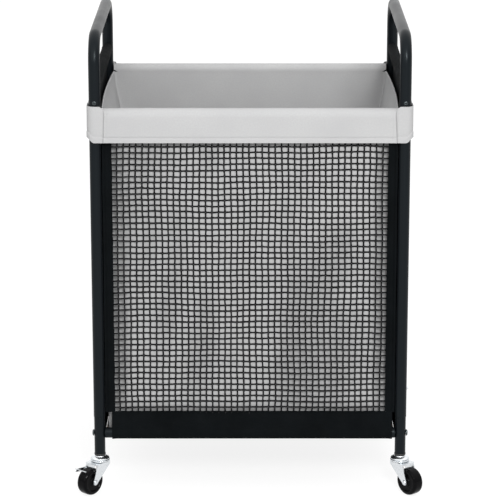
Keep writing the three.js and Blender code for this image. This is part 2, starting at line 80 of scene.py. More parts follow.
class End(Enum):
    """The front or the rear of the frame, with its sign along Y."""

    FRONT = -1
    REAR = 1

    @property
    def word(self) -> str:
        """The end's name as the frame spells it."""
        return self.name.lower()


class Axis(Enum):
    """The direction a turned part's axis runs in, with its number among the coordinates."""

    X = 0
    Y = 1
    Z = 2


# ---- Meshes ----


def roughly(x: float, y: float, z: float, seed: float = 0.0) -> float:
    """Smooth noise from about -1 to 1 at a point.

    Args:
        x: The point's first coordinate, in noise cells.
        y: Its second.
        z: Its third.
        seed: Moves the point to another part of the noise.

    Returns:
        The noise value.
    """
    return noise.noise(Vector((x + 17.3 * seed, y - 5.1 * seed, z + 9.7 * seed)))


def clamped(share: float) -> float:
    """A share held between 0 and 1."""
    return min(1.0, max(0.0, share))


def smooth(share: float) -> float:
    """Rises smoothly from 0 to 1 as share does."""
    t = clamped(share)
    return t * t * (3 - 2 * t)


def arc(centre: Sequence[float], radius: float, start: float, end: float, steps: int) -> list:
    """Points of an arc in a plane.

    Args:
        centre: The arc's centre, two numbers.
        radius: Its radius.
        start: The first point's angle, in degrees.
        end: The last point's angle, in degrees.
        steps: How many straight stretches it has.

    Returns:
        steps + 1 pairs of numbers.
    """
    angles = [math.radians(start + (end - start) * i / steps) for i in range(steps + 1)]
    return [
        (centre[0] + radius * math.cos(a), centre[1] + radius * math.sin(a)) for a in angles
    ]


def resampled(points: Sequence[Sequence[float]], spacing: float) -> np.ndarray:
    """Points evenly spaced along a polyline.

    Args:
        points: The polyline's points.
        spacing: The wanted distance between neighbours.

    Returns:
        The new points, as rows.
    """
    line = np.array(points, float)
    along = np.r_[0, np.cumsum(np.linalg.norm(np.diff(line, axis=0), axis=1))]
    count = max(2, round(along[-1] / spacing) + 1)
    places = np.linspace(0, along[-1], count)
    return np.stack([np.interp(places, along, line[:, k]) for k in range(line.shape[1])], 1)


def filleted(corners: Sequence[Sequence[float]], radius: float, steps: int = 4) -> list:
    """A polyline with its inner corners rounded.

    Args:
        corners: Pairs of numbers.
        radius: The rounding's radius, made smaller where a stretch is short.
        steps: How many stretches each rounding has.

    Returns:
        Pairs of numbers.
    """
    points = [Vector(c) for c in corners]
    made = [tuple(points[0])]
    for before, here, after in zip(points, points[1:], points[2:]):
        back, on = (before - here), (after - here)
        turn = back.angle(on)
        reach = min(radius / max(math.tan(turn / 2), 1e-6), 0.45 * back.length, 0.45 * on.length)
        first, last = here + back.normalized() * reach, here + on.normalized() * reach
        for i in range(steps + 1):
            t = i / steps
            made.append(tuple((1 - t) ** 2 * first + 2 * t * (1 - t) * here + t * t * last))
    made.append(tuple(points[-1]))
    return made


class MeshBuilder:
    """Gathers closed surfaces and makes one mesh object of them."""

    def __init__(self) -> None:
        """Starts with nothing."""
        self.points: list[np.ndarray] = []
        self.flat: list[np.ndarray] = []
        self.faces: list[tuple[int, ...]] = []
        self.count = 0

    def _take(self, points: np.ndarray, flat: np.ndarray | None) -> int:
        """Adds points and returns the number of the first."""
        first = self.count
        self.points.append(points.reshape(-1, 3))
        if flat is None:
            flat = np.zeros((self.points[-1].shape[0], 2))
        self.flat.append(flat.reshape(-1, 2))
        self.count += self.points[-1].shape[0]
        return first

    def loops(
        self, rings: np.ndarray, joined: bool = False, marks: np.ndarray | None = None,
    ) -> None:
        """Adds a surface through closed rings of points.

        Args:
            rings: Points, by ring and by place round the ring.
            joined: True if the last ring meets the first, else both ends get a cap.
            marks: A number for each ring, kept as the first flat coordinate of its points.
        """
        rows, columns = rings.shape[:2]
        flat = None
        if marks is not None:
            flat = np.stack([np.repeat(marks, columns), np.zeros(rows * columns)], 1)
        first = self._take(rings, flat)
        for i in range(rows if joined else rows - 1):
            a, b = first + i * columns, first + ((i + 1) % rows) * columns
            for j in range(columns):
                k = (j + 1) % columns
                self.faces.append((a + j, a + k, b + k, b + j))
        if not joined:
            self.faces.append(tuple(first + j for j in reversed(range(columns))))
            self.faces.append(tuple(first + (rows - 1) * columns + j for j in range(columns)))

    def shell(
        self, grid: np.ndarray, thickness: float, keep: np.ndarray | None = None,
        wrapped: bool = False,
    ) -> None:
        """Adds a thin closed sheet, thickened evenly about a grid of points.

        Args:
            grid: Points, by row and by column.
            thickness: The sheet's thickness.
            keep: True for each cell of the grid that is there; all are if it is left out.
            wrapped: True if the last column meets the first.
        """
        rows, columns = grid.shape[:2]
        across = np.roll(grid, -1, 1) - np.roll(grid, 1, 1)
        if not wrapped:
            across[:, 0] = grid[:, 1] - grid[:, 0]
            across[:, -1] = grid[:, -1] - grid[:, -2]
        along = np.gradient(grid, axis=0)
        normal = np.cross(across, along)
        normal /= np.maximum(np.linalg.norm(normal, axis=2, keepdims=True), TINY)
        step_u = np.linalg.norm(np.diff(grid, axis=1), axis=2)
        step_v = np.linalg.norm(np.diff(grid, axis=0), axis=2)
        u = np.concatenate([np.zeros((rows, 1)), np.cumsum(step_u, 1)], 1)
        v = np.concatenate([np.zeros((1, columns)), np.cumsum(step_v, 0)], 0)
        flat = np.stack([u, v], 2)
        front = self._take(grid + normal * thickness / 2, flat)
        back = self._take(grid - normal * thickness / 2, flat)
        edges: dict[tuple[int, int], bool] = {}
        for i in range(rows - 1):
            for j in range(columns if wrapped else columns - 1):
                if keep is not None and not keep[i, j]:
                    continue
                k = (j + 1) % columns
                here, below = i * columns, (i + 1) * columns
                ring = (here + j, here + k, below + k, below + j)
                self.faces.append(tuple(front + n for n in ring))
                self.faces.append(tuple(back + n for n in reversed(ring)))
                for a, b in zip(ring, ring[1:] + ring[:1]):
                    if not edges.pop((b, a), False):
                        edges[(a, b)] = True
        for a, b in edges:
            self.faces.append((front + b, front + a, back + a, back + b))

    def rod(
        self, path: np.ndarray, radius: float | np.ndarray, sides: int = 8, flatten: float = 1.0,
        across: Point = (0.0, 1.0, 0.0), marks: np.ndarray | None = None,
    ) -> None:
        """Adds a closed rod along a path.

        Args:
            path: The centreline's points, as rows.
            radius: The rod's radius, or one for each point.
            sides: How many sides it has.
            flatten: The section's size along across, as a share of its size at right angles.
            across: A direction that the path nowhere runs in.
            marks: A number for each point, as loops() takes them.
        """
        tangent = np.gradient(path, axis=0)
        tangent /= np.maximum(np.linalg.norm(tangent, axis=1, keepdims=True), TINY)
        first = np.array(across, float) - tangent * (tangent @ np.array(across, float))[:, None]
        first /= np.maximum(np.linalg.norm(first, axis=1, keepdims=True), TINY)
        second = np.cross(tangent, first)
        size = np.broadcast_to(np.asarray(radius, float), len(path))[:, None, None]
        turn = np.linspace(0, 2 * math.pi, sides, endpoint=False)
        ring = (
            first[:, None] * (flatten * np.cos(turn))[None, :, None]
            + second[:, None] * np.sin(turn)[None, :, None]
        )
        self.loops(path[:, None] + ring * size, marks=marks)

    def pipe(self, path: np.ndarray, outer: float, inner: float, sides: int, lip: float) -> None:
        """Adds a bent tube with a bore and rounded end lips, its path in a plane across X.

        Args:
            path: The centreline's points, as rows.
            outer: The outer radius.
            inner: The bore's radius.
            sides: How many sides it has.
            lip: The radius of the rounding at the ends.
        """
        tangent = np.gradient(path, axis=0)
        tangent /= np.linalg.norm(tangent, axis=1, keepdims=True)
        turn = np.linspace(0, 2 * math.pi, sides, endpoint=False)
        sideways = np.tile([1.0, 0.0, 0.0], (len(path), 1))
        second = np.cross(tangent, sideways)
        last = len(path) - 1
        stations = [(0, outer - lip, 0.0), (0, outer - 0.3 * lip, 0.3 * lip), (0, outer, lip)]
        stations += [(i, outer, 0.0) for i in range(1, last)]
        stations += [(last, outer, -lip), (last, outer - 0.3 * lip, -0.3 * lip)]
        stations += [(last, outer - lip, 0.0), (last, inner, 0.0)]
        stations += [(i, inner, 0.0) for i in range(last - 1, 0, -1)]
        stations += [(0, inner, 0.0)]
        rings = []
        for i, radius, shift in stations:
            spoke = sideways[i] * np.cos(turn)[:, None] + second[i] * np.sin(turn)[:, None]
            rings.append(path[i] + tangent[i] * shift + spoke * radius)
        self.loops(np.array(rings), joined=True)

    def turned(
        self, profile: Sequence[Sequence[float]], place: Point, axis: Axis = Axis.Z,
        segments: int = 40, towards: int = 1,
    ) -> None:
        """Adds a profile turned about an axis.

        Args:
            profile: Pairs of radius and place along the axis. It is closed back to its start, or
                starts and ends on the axis.
            place: Where the axis' zero is.
            axis: The direction of the axis.
            segments: How many sides the turned shape has.
            towards: 1 or -1, the sense of the axis.
        """
        solid = profile[0][0] < 1e-9 and profile[-1][0] < 1e-9
        pairs = profile[1:-1] if solid else profile
        turn = np.linspace(0, 2 * math.pi, segments, endpoint=False)
        rings = []
        for radius, along in pairs:
            a, b = radius * np.cos(turn), radius * np.sin(turn)
            h = np.full(segments, towards * along)
            order = {Axis.X: (h, a, b), Axis.Y: (b, h, a), Axis.Z: (a, b, h)}
            rings.append(np.stack(order[axis], 1))
        self.loops(np.array(rings) + np.array(place), joined=not solid)

    def moved(self, place: Point, heading: float) -> "MeshBuilder":
        """A copy turned about Z and then moved.

        Args:
            place: The copy's new origin.
            heading: The turn, in radians.

        Returns:
            The copy.
        """
        made = MeshBuilder()
        c, s = math.cos(heading), math.sin(heading)
        spin = np.array([[c, s, 0], [-s, c, 0], [0, 0, 1]])
        made.points = [p @ spin + np.array(place) for p in self.points]
        made.flat, made.faces, made.count = self.flat, self.faces, self.count
        return made

    def make(
        self, name: str, material: bpy.types.Material, sharp: float = 40.0,
    ) -> bpy.types.Object:
        """Makes the object, with all its faces turned outwards.

        Args:
            name: The object's name.
            material: Its material.
            sharp: Edges that turn more than this many degrees stay sharp.

        Returns:
            The object.
        """
        mesh = bpy.data.meshes.new(name)
        mesh.from_pydata(np.concatenate(self.points).tolist(), [], self.faces)
        mesh.validate()
        layer = mesh.uv_layers.new(name="cloth")
        flat = np.concatenate(self.flat)
        corners = np.zeros(len(mesh.loops), np.int32)
        mesh.loops.foreach_get("vertex_index", corners)
        layer.data.foreach_set("uv", flat[corners].astype(np.float32).ravel())
        piece = bpy.data.objects.new(name, mesh)
        bpy.context.scene.collection.objects.link(piece)
        mesh.materials.append(material)
        turn_outwards(mesh)
        mesh.shade_smooth()
        mesh.set_sharp_from_angle(angle=math.radians(sharp))
        return piece


def turn_outwards(mesh: bpy.types.Mesh) -> None:
    """Turns each closed surface's faces outwards.

    Args:
        mesh: The mesh, which is changed.
    """
    shape = bmesh.new()
    shape.from_mesh(mesh)
    loose = [v for v in shape.verts if not v.link_faces]
    bmesh.ops.delete(shape, geom=loose, context="VERTS")
    bmesh.ops.recalc_face_normals(shape, faces=shape.faces)
    shape.to_mesh(mesh)
    shape.free()


def attach(
    piece: bpy.types.Object, body: str, replaces: Sequence[str] = (),
) -> bpy.types.Object:
    """Fixes a finished piece to the frame and reports it.

    Args:
        piece: The piece, in place.
        body: The CAD body it rides on.
        replaces: The CAD nodes it stands for.

    Returns:
        The same piece.
    """
    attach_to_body(piece, body)
    if replaces:
        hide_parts(*replaces)
    log.info("%s: %d faces on %s", piece.name, len(piece.data.polygons), body)
    return piece


def sheet_mesh(grid: np.ndarray | list, thickness: float) -> MeshBuilder:
    """A thin closed sheet about a grid of points."""
    shape = MeshBuilder()
    shape.shell(np.array(grid), thickness)
    return shape


# ---- Shared shader effects ----


class Graph:
    """A shader node tree, with short calls to add nodes and join them."""

    def __init__(self, tree: bpy.types.NodeTree) -> None:
        """Wraps a node tree."""
        self.tree = tree

    def add(self, kind: str, label: str, **settings: object) -> bpy.types.Node:
        """Adds a node.

        Args:
            kind: The node's type, without its ShaderNode prefix.
            label: What the node is for.
            settings: The node's own properties.

        Returns:
            The node.
        """
        node = self.tree.nodes.new(f"ShaderNode{kind}")
        node.label = label
        for name, value in settings.items():
            setattr(node, name, value)
        return node

    def feed(self, node: bpy.types.Node, **inputs: object) -> bpy.types.Node:
        """Sets a node's inputs, by their names with _ for each space.

        Args:
            node: The node.
            inputs: A value for each input, or the output that it is joined to.

        Returns:
            The same node.
        """
        for name, value in inputs.items():
            socket = node.inputs[int(name[1:]) if name[1:].isdigit() else name.replace("_", " ")]
            if isinstance(value, bpy.types.NodeSocket):
                self.tree.links.new(value, socket)
            else:
                socket.default_value = value
        return node

    def math(self, operation: str, first: object, second: object = 0.0) -> bpy.types.NodeSocket:
        """Adds a math node and returns its output."""
        node = self.add("Math", operation.lower(), operation=operation)
        return self.feed(node, i0=first, i1=second).outputs[0]

    def noise(self, place: object, scale: float, detail: float = 2.0) -> bpy.types.NodeSocket:
        """Adds a noise texture and returns its value."""
        node = self.add("TexNoise", "unevenness")
        return self.feed(node, Vector=place, Scale=scale, Detail=detail).outputs[0]

    def spread(
        self, value: object, low: float, high: float, new_low: float, new_high: float,
    ) -> bpy.types.NodeSocket:
        """Adds a map range node and returns its output."""
        node = self.add("MapRange", "spread")
        self.feed(node, Value=value, From_Min=low, From_Max=high)
        return self.feed(node, To_Min=new_low, To_Max=new_high).outputs[0]

    def shared(
        self, first: object, second: object, given: bpy.types.Node,
    ) -> bpy.types.NodeSocket:
        """Two masks multiplied together, and by the group's Amount input."""
        return self.math("MULTIPLY", self.math("MULTIPLY", first, second), given.outputs["Amount"])


MASK_INPUTS = {"Place": "Vector", "Amount": "Float"}
RELIEF_OUTPUTS = {"Height": "Float", "Shade": "Float"}


def shared_group(
    name: str, inputs: dict[str, str], outputs: dict[str, str],
    fill: Callable[[Graph, bpy.types.Node, bpy.types.Node], None],
) -> bpy.types.NodeTree:
    """A shader node group, made once.

    Args:
        name: The group's name.
        inputs: The kind of each input, by its name.
        outputs: The kind of each output, by its name.
        fill: Adds the group's nodes, given its graph, its input node and its output node.

    Returns:
        The group.
    """
    if name in bpy.data.node_groups:
        return bpy.data.node_groups[name]
    tree = bpy.data.node_groups.new(name, "ShaderNodeTree")
    for way, sockets in (("INPUT", inputs), ("OUTPUT", outputs)):
        for socket, kind in sockets.items():
            tree.interface.new_socket(name=socket, in_out=way, socket_type=f"NodeSocket{kind}")
    fill(Graph(tree), tree.nodes.new("NodeGroupInput"), tree.nodes.new("NodeGroupOutput"))
    return tree


def weave_group() -> bpy.types.NodeTree:
    """A plain weave: the height of its threads, and a shade from thread to thread."""

    def fill(graph: Graph, given: bpy.types.Node, result: bpy.types.Node) -> None:
        """Crosses two sets of threads."""
        scaled = graph.feed(
            graph.add("VectorMath", "threads", operation="SCALE"),
            Vector=given.outputs["Place"], Scale=given.outputs["Threads"],
        )
        split = graph.feed(graph.add("SeparateXYZ", "warp and weft"), Vector=scaled.outputs[0])
        warp = graph.math("SINE", graph.math("MULTIPLY", split.outputs[0], math.pi))
        weft = graph.math("SINE", graph.math("MULTIPLY", split.outputs[1], math.pi))
        height = graph.math("MULTIPLY", warp, weft)
        slub = graph.feed(graph.add("TexNoise", "slubs"), Vector=scaled.outputs[0], Scale=0.35)
        uneven = graph.math("MULTIPLY_ADD", slub.outputs[0], 0.6)
        graph.feed(uneven.node, i2=graph.math("MULTIPLY", height, 0.5))
        graph.feed(result, Height=uneven, Shade=slub.outputs[0])

    return shared_group(
        "plain_weave", {"Place": "Vector", "Threads": "Float"}, RELIEF_OUTPUTS, fill,
    )


def wear_group() -> bpy.types.NodeTree:
    """Edge wear: a mask of rubbed edges, broken up by noise."""

    def fill(graph: Graph, given: bpy.types.Node, result: bpy.types.Node) -> None:
        """Takes raised edges and breaks them up."""
        shape = graph.add("NewGeometry", "shape")
        edge = graph.spread(shape.outputs["Pointiness"], 0.52, 0.62, 0.0, 1.0)
        broken = graph.spread(graph.noise(given.outputs["Place"], 260.0, 4.0), 0.45, 0.65, 0.0, 1.0)
        graph.feed(result, Mask=graph.shared(edge, broken, given))

    return shared_group("edge_wear", MASK_INPUTS, {"Mask": "Float"}, fill)


def dust_group() -> bpy.types.NodeTree:
    """Dust: a mask of faces that look up, broken up by noise."""

    def fill(graph: Graph, given: bpy.types.Node, result: bpy.types.Node) -> None:
        """Takes upward faces and breaks them up."""
        shape = graph.add("NewGeometry", "shape")
        split = graph.feed(graph.add("SeparateXYZ", "up"), Vector=shape.outputs["Normal"])
        upward = graph.spread(split.outputs[2], 0.3, 1.0, 0.0, 1.0)
        patchy = graph.spread(graph.noise(given.outputs["Place"], 45.0, 5.0), 0.4, 0.75, 0.0, 1.0)
        graph.feed(result, Mask=graph.shared(upward, patchy, given))

    return shared_group("dust", MASK_INPUTS, {"Mask": "Float"}, fill)


def grain_group() -> bpy.types.NodeTree:
    """Fine grain: a soft mottle and a finer one, as a height and a shade."""

    def fill(graph: Graph, given: bpy.types.Node, result: bpy.types.Node) -> None:
        """Adds two sizes of noise."""
        fine = graph.add("TexNoise", "fine")
        graph.feed(fine, Vector=given.outputs["Place"], Scale=given.outputs["Scale"], Detail=3.0)
        broad = graph.noise(given.outputs["Place"], 14.0, 3.0)
        graph.feed(result, Height=fine.outputs[0], Shade=broad)

    return shared_group("fine_grain", {"Place": "Vector", "Scale": "Float"}, RELIEF_OUTPUTS, fill)


class MaterialGraph(Graph):
    """A material's node tree, with its one Principled BSDF."""

    def __init__(self, name: str, slot: str) -> None:
        """Makes the material."""
        self.material = bpy.data.materials.new(name)
        self.material.use_nodes = True
        self.material["slot"] = slot
        super().__init__(self.material.node_tree)
        self.shader = self.tree.nodes["Principled BSDF"]
        self.coordinates = self.add("TexCoord", "place")

    @property
    def place(self) -> bpy.types.NodeSocket:
        """The point on the part, in metres."""
        return self.coordinates.outputs["Object"]

    def group(self, tree: bpy.types.NodeTree, **inputs: object) -> bpy.types.Node:
        """Adds a shared effect, placed on the part unless its place is given."""
        node = self.add("Group", tree.name, node_tree=tree)
        return self.feed(node, **{"Place": self.place, **inputs})

    def between(self, value: object, low: float, high: float) -> bpy.types.NodeSocket:
        """Spreads the usual span of a noise value between two limits."""
        return self.spread(value, *NOISE_SPAN, low, high)

    def mixed(self, share: object, first: object, second: object) -> bpy.types.NodeSocket:
        """Mixes two colours and returns the result."""
        node = self.add("Mix", "mix", data_type="RGBA")
        self.feed(node, i0=share)
        for number, value in ((6, first), (7, second)):
            if isinstance(value, bpy.types.NodeSocket):
                self.tree.links.new(value, node.inputs[number])
            else:
                node.inputs[number].default_value = (*value, 1.0)
        return node.outputs[2]

    def raised(self, height: bpy.types.NodeSocket, strength: float, distance: float) -> None:
        """Gives the surface a relief."""
        node = self.add("Bump", "relief")
        self.feed(node, Height=height, Strength=strength, Distance=distance)
        self.tree.links.new(node.outputs[0], self.shader.inputs["Normal"])

    def finished(self, **constants: object) -> bpy.types.Material:
        """Sets the shader's constant sockets and returns the material."""
        self.feed(self.shader, **constants)
        return self.material


# ---- Finishes ----


@dataclass(frozen=True)
class PowderCoat:
    """Semi-gloss black powder coat on steel tube."""

    slot: str = "black_paint"
    colour: Colour = (0.0035, 0.0046, 0.0058)
    dusty: Colour = (0.012, 0.0125, 0.0135)
    name: str = "powder_coat"
    smooth: float = 0.3
    rough: float = 0.38
    gloss: float = 0.13

    def material(self) -> bpy.types.Material:
        """The finish as a material."""
        graph = MaterialGraph(self.name, self.slot)
        grain = graph.group(grain_group(), Scale=900.0)
        dust = graph.group(dust_group(), Amount=0.35)
        base = graph.mixed(dust.outputs["Mask"], self.colour, self.dusty)
        rough = graph.between(grain.outputs["Shade"], self.smooth, self.rough)
        graph.raised(grain.outputs["Height"], 0.12, 0.0003)
        tint = (0.84, 0.96, 1.0, 1.0)
        return graph.finished(
            Base_Color=base, Roughness=rough, Specular_IOR_Level=self.gloss, Specular_Tint=tint,
        )


@dataclass(frozen=True)
class PlatedMetal:
    """Zinc plate on steel, with an optional relief."""

    name: str
    slot: str
    colour: Colour
    dull: Colour
    grain: float
    wear: float
    smooth: float
    rough: float
    relief: float = 0.0

    def material(self) -> bpy.types.Material:
        """The finish as a material."""
        graph = MaterialGraph(self.name, self.slot)
        grain = graph.group(grain_group(), Scale=self.grain)
        worn = graph.group(wear_group(), Amount=self.wear)
        base = graph.mixed(worn.outputs["Mask"], self.colour, self.dull)
        rough = graph.between(grain.outputs["Height"], self.smooth, self.rough)
        if self.relief:
            graph.raised(grain.outputs["Height"], self.relief, 0.0004)
        return graph.finished(Base_Color=base, Roughness=rough, Metallic=1.0)


@dataclass(frozen=True)
class MouldedPlastic:
    """Black moulded plastic, matte on the sockets and glossy on the wheels."""

    slot: str
    colour: Colour
    scuffed: Colour
    smooth: float
    rough: float
    gloss: float

    def material(self) -> bpy.types.Material:
        """The finish as a material."""
        graph = MaterialGraph(f"moulded_{self.slot}", self.slot)
        grain = graph.group(grain_group(), Scale=700.0)
        worn = graph.group(wear_group(), Amount=0.4)
        base = graph.mixed(worn.outputs["Mask"], self.colour, self.scuffed)
        rough = graph.between(grain.outputs["Shade"], self.smooth, self.rough)
        graph.raised(grain.outputs["Height"], 0.1, 0.0003)
        return graph.finished(Base_Color=base, Roughness=rough, Specular_IOR_Level=self.gloss)


@dataclass(frozen=True)
class WovenCloth:
    """Plain-woven polyester, with a thread count and a soft mottle."""

    slot: str
    colour: Colour
    shade: Colour
    threads: float
    relief: float
    sheen: float

    def material(self) -> bpy.types.Material:
        """The finish as a material."""
        graph = MaterialGraph(f"woven_{self.slot}", self.slot)
        weave = graph.group(
            weave_group(), Place=graph.coordinates.outputs["UV"], Threads=self.threads,
        )
        grain = graph.group(grain_group(), Scale=60.0)
        share = graph.math("MULTIPLY", weave.outputs["Shade"], grain.outputs["Shade"])
        base = graph.mixed(graph.spread(share, 0.1, 0.45, 0.0, 1.0), self.shade, self.colour)
        rough = graph.between(grain.outputs["Height"], 0.82, 0.95)
        graph.raised(weave.outputs["Height"], self.relief, 0.0004)
        return graph.finished(
            Base_Color=base, Roughness=rough, Sheen_Weight=self.sheen, Sheen_Roughness=0.5,
            Specular_IOR_Level=0.06,
        )


@dataclass(frozen=True)
class NettingYarn:
    """Black coated yarn of the open netting, its knots lighter in colour: partly rubbed yarn,
    partly a painted highlight.
    """

    slot: str = "black_mesh"
    colour: Colour = (0.002, 0.0021, 0.0023)
    rubbed: Colour = (0.007, 0.0072, 0.0076)
    # lighter knots: rubbed yarn and a painted highlight of the raised crossings
    knotted: Colour = (0.1, 0.102, 0.106)

    def material(self) -> bpy.types.Material:
        """The finish as a material."""
        graph = MaterialGraph("netting_yarn", self.slot)
        grain = graph.group(grain_group(), Scale=520.0)
        worn = graph.spread(grain.outputs["Height"], 0.5, 0.75, 0.0, 1.0)
        yarn = graph.mixed(worn, self.colour, self.rubbed)
        marks = graph.coordinates.outputs["UV"]
        split = graph.feed(graph.add("SeparateXYZ", "knots"), Vector=marks)
        near_knot = graph.spread(split.outputs[0], 0.7, 1.0, 0.0, 1.0)
        # painted highlight: the knots get a lighter colour, part rubbed yarn and part a painted
        # reflection off the raised crossings
        knot = graph.math("MULTIPLY", near_knot, grain.outputs["Height"])
        base = graph.mixed(knot, yarn, self.knotted)
        rough = graph.between(grain.outputs["Shade"], 0.42, 0.58)
        graph.raised(grain.outputs["Height"], 0.5, 0.0006)
        return graph.finished(Base_Color=base, Roughness=rough, Specular_IOR_Level=0.08)


@dataclass(frozen=True)
class FibreBoard:
    """Brown hardboard with short fibres."""

    slot: str = "fibre_board"
    colour: Colour = (0.3, 0.19, 0.11)
    dark: Colour = (0.17, 0.1, 0.055)

    def material(self) -> bpy.types.Material:
        """The finish as a material."""
        graph = MaterialGraph("hardboard", self.slot)
        fine = graph.group(grain_group(), Scale=1100.0)
        broad = graph.noise(graph.place, 160.0, 6.0)
        base = graph.mixed(graph.spread(broad, 0.35, 0.65, 0.0, 1.0), self.dark, self.colour)
        rough = graph.between(fine.outputs["Height"], 0.75, 0.9)
        graph.raised(fine.outputs["Height"], 0.3, 0.0003)
        return graph.finished(Base_Color=base, Roughness=rough)


@dataclass(frozen=True)
class FinishBook:
    """Each finish of the sorter, made once."""

    black_paint: bpy.types.Material
    black_screw: bpy.types.Material
    bright_zinc: bpy.types.Material
    screw_steel: bpy.types.Material
    black_plastic: bpy.types.Material
    wheel_plastic: bpy.types.Material
    black_fabric: bpy.types.Material
    grey_fabric: bpy.types.Material
    black_mesh: bpy.types.Material
    fibre_board: bpy.types.Material

    @classmethod
    def made(cls) -> "FinishBook":
        """Makes all the materials."""
        return cls(
            black_paint=PowderCoat().material(),
            black_screw=PowderCoat(
                name="blackened_screw", smooth=0.14, rough=0.2, gloss=0.8,
            ).material(),
            bright_zinc=PlatedMetal(
                "bright_zinc_plate", "bright_zinc", (0.72, 0.745, 0.765), (0.5, 0.52, 0.54),
                grain=420.0, wear=0.5, smooth=0.2, rough=0.32, relief=0.1,
            ).material(),
            screw_steel=PlatedMetal(
                "plated_screw", "screw_steel", (0.62, 0.63, 0.64), (0.35, 0.35, 0.36),
                grain=1500.0, wear=0.6, smooth=0.22, rough=0.34,
            ).material(),
            black_plastic=MouldedPlastic(
                "black_plastic", (0.01, 0.0105, 0.011), (0.03, 0.03, 0.031), 0.42, 0.56, 0.4,
            ).material(),
            wheel_plastic=MouldedPlastic(
                "wheel_plastic", (0.002, 0.002, 0.0023), (0.005, 0.005, 0.0052), 0.1, 0.2, 0.06,
            ).material(),
            black_fabric=WovenCloth(
                "black_fabric", (0.003, 0.0041, 0.0049), (0.0012, 0.0017, 0.002), 1400.0, 0.35, 0.0,
            ).material(),
            grey_fabric=WovenCloth(
                "grey_fabric", (0.36, 0.36, 0.36), (0.325, 0.325, 0.328), 1100.0, 0.25, 0.0,
            ).material(),
            black_mesh=NettingYarn().material(),
            fibre_board=FibreBoard().material(),
        )


# ---- Places taken from the frame ----


def middle(node: str) -> Vector:
    """The middle of a CAD node's box."""
    low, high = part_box(node)
    return (low + high) / 2


def half_height(node: str) -> float:
    """Half the height of a CAD node's box, the radius of a level rod."""
    low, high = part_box(node)
    return (high.z - low.z) / 2


class Layout:
    """Places and levels that more than one sub-assembly uses, measured on the frame."""

    face_stand = 1.2 * MM
    face_bulge = 1.3 * MM

    def __init__(self) -> None:
        """Measures the frame."""
        leg = middle("leg_upper_front_right")
        self.leg_x, self.leg_y = leg.x, -leg.y
        low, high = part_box("leg_upper_front_right")
        self.tube_radius = (high.x - low.x) / 2
        self.leg_joint_z, self.leg_top_z = low.z, high.z
        low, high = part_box("leg_lower_front_right")
        self.lower_leg_radius = (high.x - low.x) / 2
        self.foot_z, self.lower_top_z = low.z, high.z
        low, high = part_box("handle_hoop_right")
        self.hoop_low_z, self.handle_z = low.z, high.z - self.tube_radius
        self.top_rod_z = middle("top_rod_front").z
        self.bottom_rod_z = middle("bottom_rod_front").z
        self.crossbar_z = middle("side_crossbar_left").z
        self.top_rod_radius = half_height("top_rod_front")
        self.bottom_rod_radius = half_height("bottom_rod_front")
        self.crossbar_radius = half_height("side_crossbar_left")

    def face_y(self, x: float, z: float, end: float) -> float:
        """How far from the middle the bag's front or rear face stands at a point.

        Args:
            x: Where along X.
            z: How high.
            end: -1 at the front and 1 at the rear.

        Returns:
            The distance along Y, without its sign.
        """
        bulge = self.face_bulge * roughly(6 * x, 0.5 * end, 5 * z, 5.0 + end)
        return self.leg_y + self.face_stand + bulge


# ---- Tube frame ----


